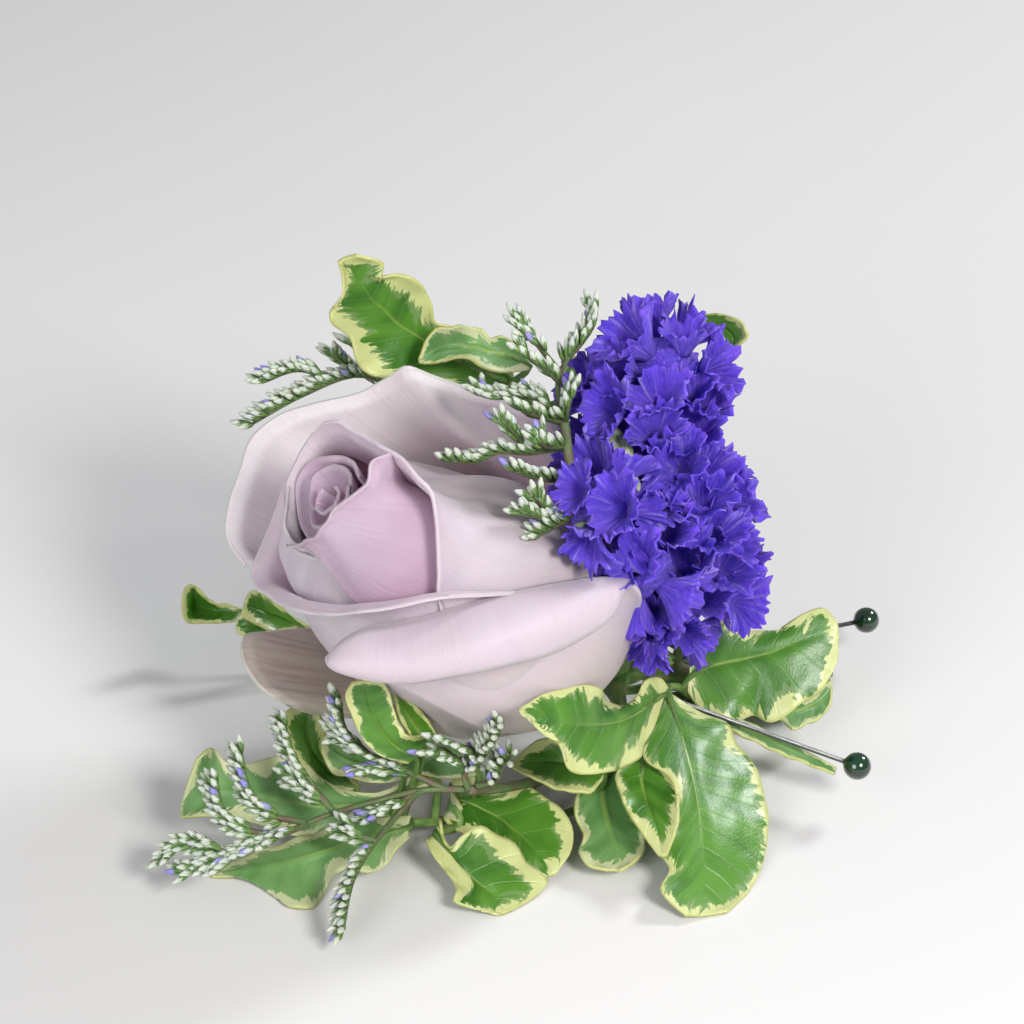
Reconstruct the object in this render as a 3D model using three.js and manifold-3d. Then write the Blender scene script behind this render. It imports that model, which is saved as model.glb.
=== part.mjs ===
// A boutonniere lying on a table: a lavender rose with statice, caspia and variegated leaves,
// bound with green tape round its short stems, and two pins with round green heads.
// Millimetres, +Z up, +X towards the cut stems, +Y away from the viewer of the rose's front side.
import * as THREE from "three";
import { mergeVertices } from "three/addons/utils/BufferGeometryUtils.js";
import Module from "manifold-3d";

const wasm = await Module();
wasm.setup();

// Driving dimensions
const BLADE = 0.7; // thickness of a petal
const LEAF = 0.7; // thickness of a leaf
const GAP = 0.3; // clearance between touching pieces
const DETAIL = 0.05; // smaller details of a joined body are evened out
const ROSE_BASE = [13, -15.8, 17]; // where the petals meet the hip
const ROSE_FRONT = [0.525, -0.832, 0.178]; // the side of the bloom that faces the viewer
const ROSE_SIDE = [0.486, 0.465, 0.741];
const ROSE_AXIS = [-0.7, -0.302, 0.649]; // from the hip to the tip of the bloom
const STEM_RADIUS = 1.9; // of the rose
const SPRIG_RADIUS = 0.8; // of every other stem
const TAPE_INNER = 4.05;
const TAPE_OUTER = 4.75;
const PIN_RADIUS = 0.35;
const PIN_HEAD_RADIUS = 2;
const PIN_LENGTH = 34;

const vec = (p) => new THREE.Vector3(...p);
const radians = THREE.MathUtils.degToRad;
const mix = THREE.MathUtils.lerp;
const smoothstep = THREE.MathUtils.smoothstep;

// Solids

function solid(geometry) {
  const bare = geometry.index ? geometry.toNonIndexed() : geometry.clone();
  bare.deleteAttribute("normal");
  bare.deleteAttribute("uv");
  const merged = mergeVertices(bare, 1e-4);
  return new wasm.Manifold(
    new wasm.Mesh({
      numProp: 3,
      vertProperties: merged.attributes.position.array,
      triVerts: new Uint32Array(merged.index.array),
    }),
  );
}

// Joined solids as one body, without the pockets shut in between them.
function join(solids) {
  const whole = solids.reduce((sum, piece) => sum.add(piece));
  return whole.decompose().reduce((best, body) => (body.volume() > best.volume() ? body : best));
}

// Moves corners that meet by chance apart, so that surfaces that only touch stay separate.
function spread(values) {
  const taken = new Set();
  for (let i = 0; i < values.length; i += 3) {
    const cell = () => [0, 1, 2].map((k) => Math.round(values[i + k] * 400)).join();
    while (taken.has(cell())) {
      values[i] += 0.004;
      values[i + 1] += 0.003;
    }
    taken.add(cell());
  }
  return values;
}

function meshOf(name, body, colour, roughness, metalness = 0) {
  const made = body.getMesh();
  const geometry = new THREE.BufferGeometry()
    .setAttribute("position", new THREE.BufferAttribute(spread(made.vertProperties), 3))
    .setIndex(new THREE.BufferAttribute(made.triVerts, 1));
  geometry.computeVertexNormals();
  const material = new THREE.MeshStandardMaterial({ color: colour, roughness, metalness });
  const mesh = new THREE.Mesh(geometry, material);
  mesh.name = name;
  return mesh;
}

// A closed thin solid round a middle surface: point(u, v), with u from -1 to 1 across it and v
// from 0 to 1 along it. Both faces are split into triangles alike.
function blade(point, across, along, thickness) {
  const positions = [];
  const index = [];
  const step = 1e-3;
  const columns = across + 1;
  const side = columns * (along + 1);
  const offset = new THREE.Vector3();
  for (const sign of [1, -1])
    for (let j = 0; j <= along; j++)
      for (let i = 0; i <= across; i++) {
        const u = -1 + (2 * i) / across;
        const v = j / along;
        const du = point(u + step, v).sub(point(u - step, v));
        const dv = point(u, v + step).sub(point(u, v - step));
        offset.crossVectors(du, dv).normalize();
        offset.multiplyScalar((sign * thickness) / 2);
        positions.push(...point(u, v).add(offset).toArray());
      }
  const quad = (a, b, c, d) => index.push(a, b, c, a, c, d);
  for (let j = 0; j < along; j++)
    for (let i = 0; i < across; i++) {
      const a = j * columns + i;
      const [b, c, d] = [a + 1, a + columns + 1, a + columns];
      quad(a, b, c, d);
      index.push(side + a, side + c, side + b, side + a, side + d, side + c);
    }
  for (let i = 0; i < across; i++) {
    const far = along * columns + i;
    quad(i + 1, i, side + i, side + i + 1);
    quad(far, far + 1, side + far + 1, side + far);
  }
  for (let j = 0; j < along; j++) {
    const left = j * columns;
    const right = left + across;
    quad(left, left + columns, side + left + columns, side + left);
    quad(right + columns, right, side + right, side + right + columns);
  }
  const geometry = new THREE.BufferGeometry().setIndex(index);
  geometry.setAttribute("position", new THREE.Float32BufferAttribute(positions, 3));
  return solid(geometry);
}

function circle(radius, sides, kind = THREE.Shape) {
  const outline = new kind();
  for (let i = 0; i < sides; i++) {
    const turn = (2 * Math.PI * i) / sides;
    const [x, y] = [radius * Math.cos(turn), radius * Math.sin(turn)];
    if (i) outline.lineTo(x, y);
    else outline.moveTo(x, y);
  }
  outline.closePath();
  return outline;
}

function stalk(points, radius, sides, steps, bore = 0) {
  const outline = circle(radius, sides);
  if (bore) outline.holes.push(circle(bore, sides, THREE.Path));
  const extrudePath = new THREE.CatmullRomCurve3(points.map((p) => (p.isVector3 ? p : vec(p))));
  return solid(new THREE.ExtrudeGeometry(outline, { steps, extrudePath }));
}

// The rose's petals, in the bloom's own frame: Z along its axis, X towards the viewer. A rim is a
// line of [degrees round the axis, height, distance from the axis]. A rolled petal turns over at its
// rim and goes on to its edge. A petal starts at the height from, or at 0, and follows the body at a
// distance of layer up to its shoulder, or else stands on a foot of that radius. A notched petal has
// its left side set back by so many degrees below the rim.
const HEART_PETALS = [
  { from: 46, foot: 1, rim: [[150, 54.6, 1.8], [252, 54.6, 1.7], [332, 54.6, 2.2], [434, 54.6, 2]] },
  { from: 45, foot: 2.4, rim: [[30, 54.2, 4.4], [107, 54.4, 4.5], [166, 54.3, 5.4], [217, 53.5, 3.6]] },
  { from: 45, foot: 2.6, rim: [[215, 53.2, 4.4], [300, 54, 3.7], [375, 54.6, 4.2], [400, 54.8, 4.6]] },
  { from: 43, foot: 3.6,
    rim: [[50, 54.2, 6], [99, 54.5, 5.7], [134, 54.8, 6.4], [168, 54.3, 8.8], [199, 53, 8.3],
      [236, 51, 7.2]] },
  { from: 34, layer: -1.5, shoulder: 0.6, notch: 84,
    rim: [[239, 53, 9.3], [258, 53.6, 7.4], [273, 54.5, 6.4], [314, 56, 6.2], [347, 57, 6.8], [363, 57.5, 8],
      [375, 57.5, 9.9], [383, 57.5, 11.3], [396, 58, 12.2], [402, 56.5, 12.6], [410, 54, 12.5]] },
];
const WRAPPED_PETALS = [
  { layer: -1.2, shoulder: 0.78,
    rim: [[-22, 40, 19.5], [-11, 45, 18.7], [-3, 46.5, 18.1], [9, 48.5, 17.5], [17, 50, 17.3],
      [25.6, 52, 17.1], [31, 53.5, 15.6], [41, 54.5, 13.7], [56, 55.5, 10.8], [87, 56, 9], [116, 57, 9.6],
      [155, 55.5, 9.9], [179, 54.8, 9.6], [197, 54.2, 9], [218, 53.6, 8.6], [239, 53, 8.3],
      [262, 52.3, 7.4], [290, 51.6, 6.8], [318, 50.6, 8.5], [326, 49.2, 11.5], [333, 47, 13.5]] },
  { layer: 0.4, shoulder: 0.8,
    rim: [[-178, 53.3, 12.2], [-162, 52.3, 13], [-149, 50, 17.2], [-139, 48.5, 20.9], [-120, 49.3, 16.5],
      [-98, 51.5, 14], [-76, 52.5, 13.6], [-48.5, 52.5, 15], [-32, 51.5, 17], [-11, 46.8, 20.3],
      [-1, 40, 21], [7.3, 33.5, 22], [22, 22, 24]] },
];
const OPEN_PETALS = [
  { layer: 1.2,
    rim: [[-51.4, 51.6, 23], [-45.2, 51.7, 21.8], [-37.1, 50.2, 20.8], [-29.3, 46.7, 20], [-16.3, 43, 20.2],
      [-4.2, 39.2, 21.4], [6.5, 34.3, 22.6], [15.9, 28.2, 23.4], [21.4, 23.6, 24.2], [23.1, 20.7, 25.5]],
    edge: [[-51.4, 51.6, 23], [-49.7, 50, 24], [-42.6, 46, 25.5], [-35.3, 42.9, 26.5], [-24.6, 39.6, 27.5],
      [-14.9, 35, 28], [-7.4, 30.4, 28], [0.9, 26.4, 27.5], [9.1, 23.2, 27], [23.1, 20.7, 25.5]] },
  { layer: 1.6,
    rim: [[97, 24, 24], [106, 33, 24], [116.2, 36, 24], [120.8, 40.6, 24], [123, 44, 24], [133.1, 44.1, 24],
      [146, 45, 24.5], [157, 48.6, 25], [166.3, 51.5, 26], [175.9, 52.9, 26], [186.2, 51.7, 26],
      [198.8, 51.4, 26], [207, 50.3, 26], [214.7, 47.8, 24]] },
  { layer: 1.4,
    rim: [[-160, 30, 26], [-145, 40, 32.5], [-131, 42, 33.6], [-116, 36, 30.5], [-103, 33, 26],
      [-90, 24, 23.5]] },
  { layer: 1, rim: [[42, 10, 18], [60, 17, 21.5], [76, 18, 22.3], [92, 17, 22.4], [106, 10, 18]] },
  { layer: 2.2, rim: [[130, 20, 25], [150, 33, 28], [170, 36, 29.5], [190, 33, 28.5], [212, 20, 26]] },
];
const PETALS = [...HEART_PETALS, ...WRAPPED_PETALS, ...OPEN_PETALS];

// Outlines of the closed body, as [height, distance from the axis]: at its front and its upper side.
const BODY = [[0, 4], [4, 9.5], [8, 14], [13, 18], [20, 21.3], [28, 22.5], [36, 21.5], [44, 18.5],
  [52, 14], [60, 9]];
const UPPER_BODY = [[0, 4], [6, 8.4], [14, 12], [19, 14.3], [23, 16], [28, 15.4], [32, 14], [37, 11.5],
  [41, 9], [48, 8.5], [60, 8.5]];

function outlineAt(outline, z) {
  const found = outline.findIndex(([height]) => height >= z);
  const next = found < 0 ? outline.length - 1 : Math.max(1, found);
  const [low, high] = [outline[next - 1], outline[next]];
  const share = (next - 1 + (z - low[0]) / (high[0] - low[0])) / (outline.length - 1);
  const line = new THREE.SplineCurve(outline.map((point) => new THREE.Vector2(...point)));
  return line.getPoint(THREE.MathUtils.clamp(share, 0, 1)).y;
}

// 1 near the middle turn, down to 0 at width degrees from it.
function bell(turn, middle, width) {
  const away = Math.abs(THREE.MathUtils.euclideanModulo(turn - middle + 180, 360) - 180);
  return 1 - smoothstep(away, 0.35 * width, width);
}

// The closed body's distance from the axis: slim above, and a little slimmer below.
function bodyRadius(z, turn) {
  const full = outlineAt(BODY, z) * (1 - 0.1 * bell(turn, 275, 60) * smoothstep(z, 18, 30));
  return mix(full, outlineAt(UPPER_BODY, z), bell(turn, 90, 75));
}

function petalPoint({ from = 0, layer = 0, shoulder = 0.45, notch = 0, foot, rim, edge }, u, v) {
  const share = THREE.MathUtils.clamp((u + 1) / 2, 0, 1);
  const line = new THREE.CatmullRomCurve3(rim.map(vec)).getPoint(share);
  const [first, last] = [rim[0][0], rim[rim.length - 1][0]];
  const rise = edge ? Math.min(1, v / 0.8) : 1 - Math.max(0, 1 - v) ** 1.6;
  let height = mix(from, line.y, rise);
  let turn = mix((first + last) / 2, line.x, mix(0.62, 1, smoothstep(rise, 0, 0.6)));
  turn += ((notch * (last - turn)) / (last - first)) * (1 - Math.exp(-22 * (1 - rise)));
  const root = foot ?? mix(from ? 12 : 3.5, bodyRadius(height, turn) + layer, smoothstep(rise, 0, 0.12));
  let radius = mix(root, line.z, smoothstep(rise, shoulder, 1));
  const over = Math.min(1, (v - 0.8) / 0.2);
  if (edge && over > 0) {
    const end = new THREE.CatmullRomCurve3(edge.map(vec)).getPoint(share);
    const swell = Math.sin(Math.PI * over) ** 0.8 * (1 - u ** 4);
    turn = mix(turn, end.x, over);
    height = mix(height, end.y, over) + 2.2 * swell;
    radius = mix(radius, end.z, over) + 3 * swell;
  }
  turn = radians(turn);
  return new THREE.Vector3(radius * Math.cos(turn), radius * Math.sin(turn), height);
}

// The closed middle of the bloom: it fills the body from within.
function roseCore() {
  const profile = [[0, -2], [4.5, 0], [10, 6], [16, 14], [19, 25], [18.5, 34], [15, 40.5], [9, 45],
    [4, 47.5], [0, 48]];
  const shape = new THREE.LatheGeometry(profile.map((point) => new THREE.Vector2(...point)), 20);
  const corners = shape.rotateX(Math.PI / 2).attributes.position;
  for (let i = 0; i < corners.count; i++) {
    const [x, y, z] = [corners.getX(i), corners.getY(i), corners.getZ(i)];
    const radius = Math.hypot(x, y);
    const turn = THREE.MathUtils.radToDeg(Math.atan2(y, x));
    const room = bodyRadius(Math.max(0, z), turn) - 3 * smoothstep(z, 0, 8);
    const slim = Math.min(1, room / Math.max(0.01, radius));
    corners.setXYZ(i, x * slim, y * slim, z);
  }
  return solid(shape);
}

function petalBlades(petals, thickness) {
  return petals.map((petal) => {
    const span = petal.rim[petal.rim.length - 1][0] - petal.rim[0][0];
    const across = Math.max(6, Math.round(span / 24));
    const along = petal.edge ? 15 : petal.foot ? 2 : 6;
    return blade((u, v) => petalPoint(petal, u, v), across, along, thickness);
  });
}

const toWorld = new THREE.Matrix4()
  .makeBasis(vec(ROSE_FRONT), vec(ROSE_SIDE), vec(ROSE_AXIS))
  .setPosition(...ROSE_BASE);
const placed = (body) => body.transform(toWorld.elements);
const HIP = [[0, -9], [2, -9], [3.6, -7], [4.6, -4.5], [4.4, -2], [3.4, -1.1], [0, -2.4]];

// The green hip under the petals with its five bent back sepals.
function roseHip() {
  const hip = new THREE.LatheGeometry(HIP.map(([r, z]) => new THREE.Vector2(r, z)), 12);
  const sepals = [0, 1, 2, 3, 4].map((i) =>
    blade((u, v) => {
      const radius = 3.6 + 6 * v;
      const half = 2.4 * (1 - v * v) + 0.3;
      const height = -3 + 0.6 * v - 3 * v * v - 0.6 * u * u;
      const sepal = new THREE.Vector3(radius, half * u, height);
      return sepal.applyAxisAngle(new THREE.Vector3(0, 0, 1), radians(72 * i + 20));
    }, 2, 4, LEAF));
  return join([solid(hip.rotateX(Math.PI / 2)), ...sepals]);
}

// Stems: they run side by side from the cut ends, through the tape, to the foot of the rose

const AXIS = [[47, -3, 4.6], [38, -6.5, 4.6], [33, -8.5, 4.9], [28, -10.4, 6.4], [22.5, -12.2, 9.2]];
const axisLine = new THREE.CatmullRomCurve3(AXIS.map(vec));
const RING = 2.95; // from the middle of the rose's stem to the others round it

// The slot at a turn round the rose's stem, with 0 above it and 90 on the viewer's side.
function slotPoint(turn, share) {
  const forward = axisLine.getTangentAt(share).negate();
  const up = new THREE.Vector3(0, 0, 1).addScaledVector(forward, -forward.z).normalize();
  const side = new THREE.Vector3().crossVectors(up, forward).negate();
  const ring = RING + 2.2 * smoothstep(share, 0.68, 0.98);
  return axisLine
    .getPointAt(share)
    .addScaledVector(up, ring * Math.cos(radians(turn)))
    .addScaledVector(side, ring * Math.sin(radians(turn)));
}

function sprigLine(turn, points) {
  const start = [0, 0.1, 0.2, 0.3, 0.4, 0.5, 0.6, 0.7, 0.84].map((share) => slotPoint(turn, share));
  return [...start, ...points.map(vec)];
}

// Leaves: each one by its left margin, its midrib and its right margin, from the base to the tip.
function leafPoint(leaf, u, v) {
  const share = THREE.MathUtils.clamp(v, 0, 1);
  const lines = [leaf.left, leaf.rib, leaf.right].map((line) => new THREE.CatmullRomCurve3(line.map(vec)));
  const [left, rib, right] = lines.map((line) => line.getPoint(share));
  const across = right.clone().sub(left).multiplyScalar(u / 2);
  const bend = left.add(right).multiplyScalar(0.5).sub(rib).multiplyScalar(u * u);
  return rib.add(across).add(bend);
}

const RIGHT_LEAVES = [
  {
    left: [[23, -23.2, 13.3], [27.2, -24.8, 11.2], [30.7, -25.5, 10], [32.4, -28.4, 8.4],
      [35.2, -32.5, 5.9], [36.1, -37.9, 3.5], [35.6, -44.3, 1.6], [33.2, -51, 0.25],
      [29.7, -56.2, 0.25]],
    rib: [[22.3, -23.5, 13.4], [23.6, -28.1, 12.4], [24.6, -33.1, 11.4], [25.4, -37.7, 9.9],
      [26.1, -42.3, 7.9], [26.4, -46.5, 6], [26.6, -50.4, 3.9], [26.7, -53.8, 1.7], [26.6, -57, 0.25]],
    right: [[21.6, -24.1, 13.5], [19.5, -29.8, 12.7], [18.5, -36.1, 11.8], [22.3, -40.1, 10.7],
      [22.6, -46.3, 8.6], [20.1, -47.8, 5.9], [21.7, -50.9, 3.6], [20.4, -55.2, 3.4],
      [23.7, -57.8, 1]],
  },
  {
    left: [[21.3, -28.8, 16.1], [20.5, -31.8, 15.5], [18.8, -35.5, 14.1], [17.8, -38.4, 13.6],
      [15.3, -42.4, 14.7], [12, -46.6, 16.8], [9, -49.4, 18.9], [7.5, -50.5, 20.7], [7, -49.6, 23.1],
      [4.6, -49.2, 25.4], [1.4, -49.4, 29]],
    rib: [[21.6, -27.5, 16.7], [19.9, -30.6, 17.4], [18.2, -33.7, 18.2], [16.3, -36.9, 19.2],
      [14.3, -39.8, 20.5], [12, -42.3, 22], [10.1, -44.1, 23.2], [7.7, -45.9, 24.7],
      [5.4, -47.3, 26.3], [3.1, -48.5, 27.9], [0.9, -49.6, 29.5]],
    right: [[22.1, -26.4, 16.9], [20.8, -27.8, 19.7], [18.6, -31.5, 21.5], [17.4, -32.3, 19.1],
      [15.3, -34.4, 19.2], [13.3, -36.9, 22], [12, -39, 25.6], [10.3, -40.5, 27.4],
      [7.3, -42.7, 28.4], [3.9, -46, 29.6], [1.2, -49, 29.5]],
  },
  {
    left: [[21.1, -36.8, 10.7], [23.1, -40.4, 10.4], [23.3, -43.8, 9.6], [23, -47, 8.6],
      [22.3, -49.5, 7.7], [21.3, -51.9, 6.7]],
    rib: [[18.7, -35.1, 10.4], [18.3, -37.3, 9.1], [18.6, -40, 8.2], [19.3, -43.3, 7.7],
      [20.1, -46.8, 7.5], [20.6, -51.8, 6.5]],
    right: [[16.6, -34.9, 9.7], [14.7, -36.8, 9.7], [15.1, -40.8, 9.3], [16.2, -44.2, 8.4],
      [17.8, -47.3, 7.4], [20, -51.3, 6.4]],
  },
  {
    left: [[25.8, -18.4, 13.6], [26.2, -15.9, 16.8], [26.6, -15.1, 19.4], [29, -14.4, 21.1],
      [31.3, -14, 19.6], [33.6, -14, 18.3], [36.3, -13.9, 18], [38, -14.3, 17.9], [39.8, -14.3, 19.3],
      [42.4, -13.9, 21.2], [45.3, -13.5, 21.9], [47, -13.9, 20.4]],
    rib: [[25.6, -19.2, 12.8], [27, -17.7, 14.4], [29, -17.9, 14.8], [31.2, -17.9, 15.4],
      [33.4, -17.9, 15.9], [35.6, -17.7, 16.4], [37.9, -17.4, 16.9], [40.1, -16.8, 17.6],
      [42.4, -16.1, 18.2], [44.6, -15.4, 18.7], [46.2, -14.8, 19.2], [47.5, -14.3, 19.5]],
    right: [[25.5, -20, 12], [25.7, -20.3, 11.5], [27.6, -22.2, 9.8], [30, -23.6, 9], [32.5, -23.1, 8.5],
      [35.2, -21.8, 8.7], [37.3, -23.4, 8.6], [39.3, -23.6, 9.6], [42.2, -22.1, 11.3],
      [45.2, -20.4, 12.8], [47.4, -17.5, 15.9], [47.5, -15, 18.8]],
  },
  {
    left: [[28.8, -20.3, 9], [39.1, -19.2, 6.4], [41, -22, 6.3], [42.9, -20.1, 5.8], [44.8, -18.6, 5.6],
      [46.8, -15.8, 5.7], [47.7, -11.4, 6.2]],
    rib: [[29, -19.5, 9.2], [39.4, -17.8, 6.7], [42, -17.4, 6.2], [43.7, -16, 6], [45.4, -14.3, 5.9],
      [46.7, -12.4, 6], [47.7, -10.3, 6.3]],
    right: [[29.3, -18.7, 9.3], [39.9, -16.8, 7.4], [41.8, -16.5, 7.4], [43.6, -15.6, 7.4],
      [45.4, -13.6, 7.4], [46.7, -11.6, 7.1], [47.5, -10.1, 6.6]],
  },
  {
    left: [[29.4, -23.8, 8.9], [34.6, -27.2, 8.1], [40.2, -30.2, 7.3], [45.9, -32.8, 6.3]],
    rib: [[30, -22.8, 9], [35.2, -25.6, 8], [40.8, -28.9, 7.1], [46.3, -32.2, 6.3]],
    right: [[30.6, -21.8, 9.3], [35.5, -24.2, 8.6], [41, -27.6, 7.6], [46.4, -31.6, 6.7]],
  },
];
const FRONT_LEAVES = [
  {
    left: [[12.7, -37.8, 8.9], [11.1, -40.2, 8.6], [9.1, -40.5, 9], [6.8, -39.9, 8.9], [4.4, -39, 9.4],
      [2.5, -38, 9.8], [0.3, -36.6, 10.2]],
    rib: [[13, -36.5, 9.5], [10.8, -36, 9.8], [8.8, -35.1, 9.9], [6.8, -34.6, 9.9], [4.9, -34.7, 10.1],
      [2.5, -35.3, 10.3], [-0.1, -36, 10.3]],
    right: [[13, -35.7, 9.8], [10.8, -34.6, 11], [8.4, -33.7, 11.8], [6.8, -32.9, 12.4],
      [5.1, -32.6, 12.7], [2.7, -33.5, 12.1], [0.3, -35.8, 10.6]],
  },
  {
    left: [[12.5, -33.3, 7], [10.9, -35.4, 6.6], [9.1, -38.1, 6.2], [9, -40.9, 4.9], [10.1, -43.4, 3.6],
      [9.3, -46.6, 3.2], [10.6, -49.1, 2.8], [13.1, -49.6, 2.4]],
    rib: [[14.5, -33, 7.3], [13.1, -34.6, 6], [12.9, -37, 4.9], [13.3, -39.6, 3.9], [13.9, -42.6, 3.2],
      [14.6, -45.3, 2.9], [14.5, -47.7, 2.5], [14.1, -49.5, 2.1]],
    right: [[17.3, -33.3, 7.5], [18.4, -36, 7.1], [18.7, -39.1, 6.5], [18.6, -41.9, 5.6],
      [18.5, -44.4, 4.6], [18.4, -46.9, 3.6], [16.4, -49.2, 2.9], [15, -49.9, 2.5]],
  },
  {
    left: [[-7, -39.6, 5.4], [-8.7, -34.5, 6.5], [-5.9, -33.7, 6.7], [-3.3, -35.2, 6.5], [-1.1, -36, 6.4],
      [1.7, -36.4, 6.9], [4.4, -38.1, 6.5], [6.8, -39.9, 5.6], [8.5, -43, 4.5], [8.1, -47, 3.2],
      [5.9, -50.1, 2]],
    rib: [[-7.4, -40.8, 4.9], [-8.7, -37.2, 5.2], [-6.3, -37.8, 5], [-3.9, -39.1, 4.7],
      [-1.7, -40.8, 4.6], [0.1, -42.8, 4.3], [1.7, -44.6, 4], [3, -46.2, 3.6], [4, -47.5, 3.1],
      [4.8, -48.7, 2.6], [5.5, -50.3, 2]],
    right: [[-7.4, -42, 4.9], [-9.6, -40.7, 4.7], [-8.2, -42.7, 4.3], [-6.6, -43.6, 4], [-5, -44.5, 3.7],
      [-3.4, -45.2, 3.3], [-1.9, -46.6, 2.9], [-0.3, -47.5, 2.6], [1.3, -48.5, 2.4],
      [2.8, -49.4, 2.2], [4.9, -50.3, 1.9]],
  },
  {
    left: [[-10, -43.5, 6.8], [-9.5, -46.8, 5.5], [-8.5, -48, 5.2], [-6.9, -46.9, 6.5], [-4.5, -45.6, 7],
      [-2.1, -45.9, 5.8], [0.5, -46.6, 4.3], [2.2, -48.6, 2.7], [5, -50.2, 1.3], [3.6, -52.7, 0.6],
      [-0.1, -55.9, 0.25]],
    rib: [[-10.9, -45.2, 5.2], [-9.5, -47.2, 4.6], [-8.3, -48.7, 4.1], [-7.1, -50.4, 3.7],
      [-5.9, -51.6, 3.2], [-4.8, -52.6, 2.7], [-3.6, -53.4, 2.2], [-2.6, -54, 1.6], [-1.8, -54.8, 1.1],
      [-1.4, -55.7, 0.6], [-1.1, -56.5, 0.25]],
    right: [[-12, -46.5, 5.3], [-11, -48.8, 4.6], [-10, -50.2, 4], [-9, -51.4, 3.5], [-8.2, -52.7, 3.1],
      [-7.6, -54.4, 2.7], [-8, -56.4, 2.6], [-6.4, -56.8, 1.8], [-4.7, -56.7, 1.2], [-3, -56.7, 0.8],
      [-1.6, -56.7, 0.4]],
  },
];
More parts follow.
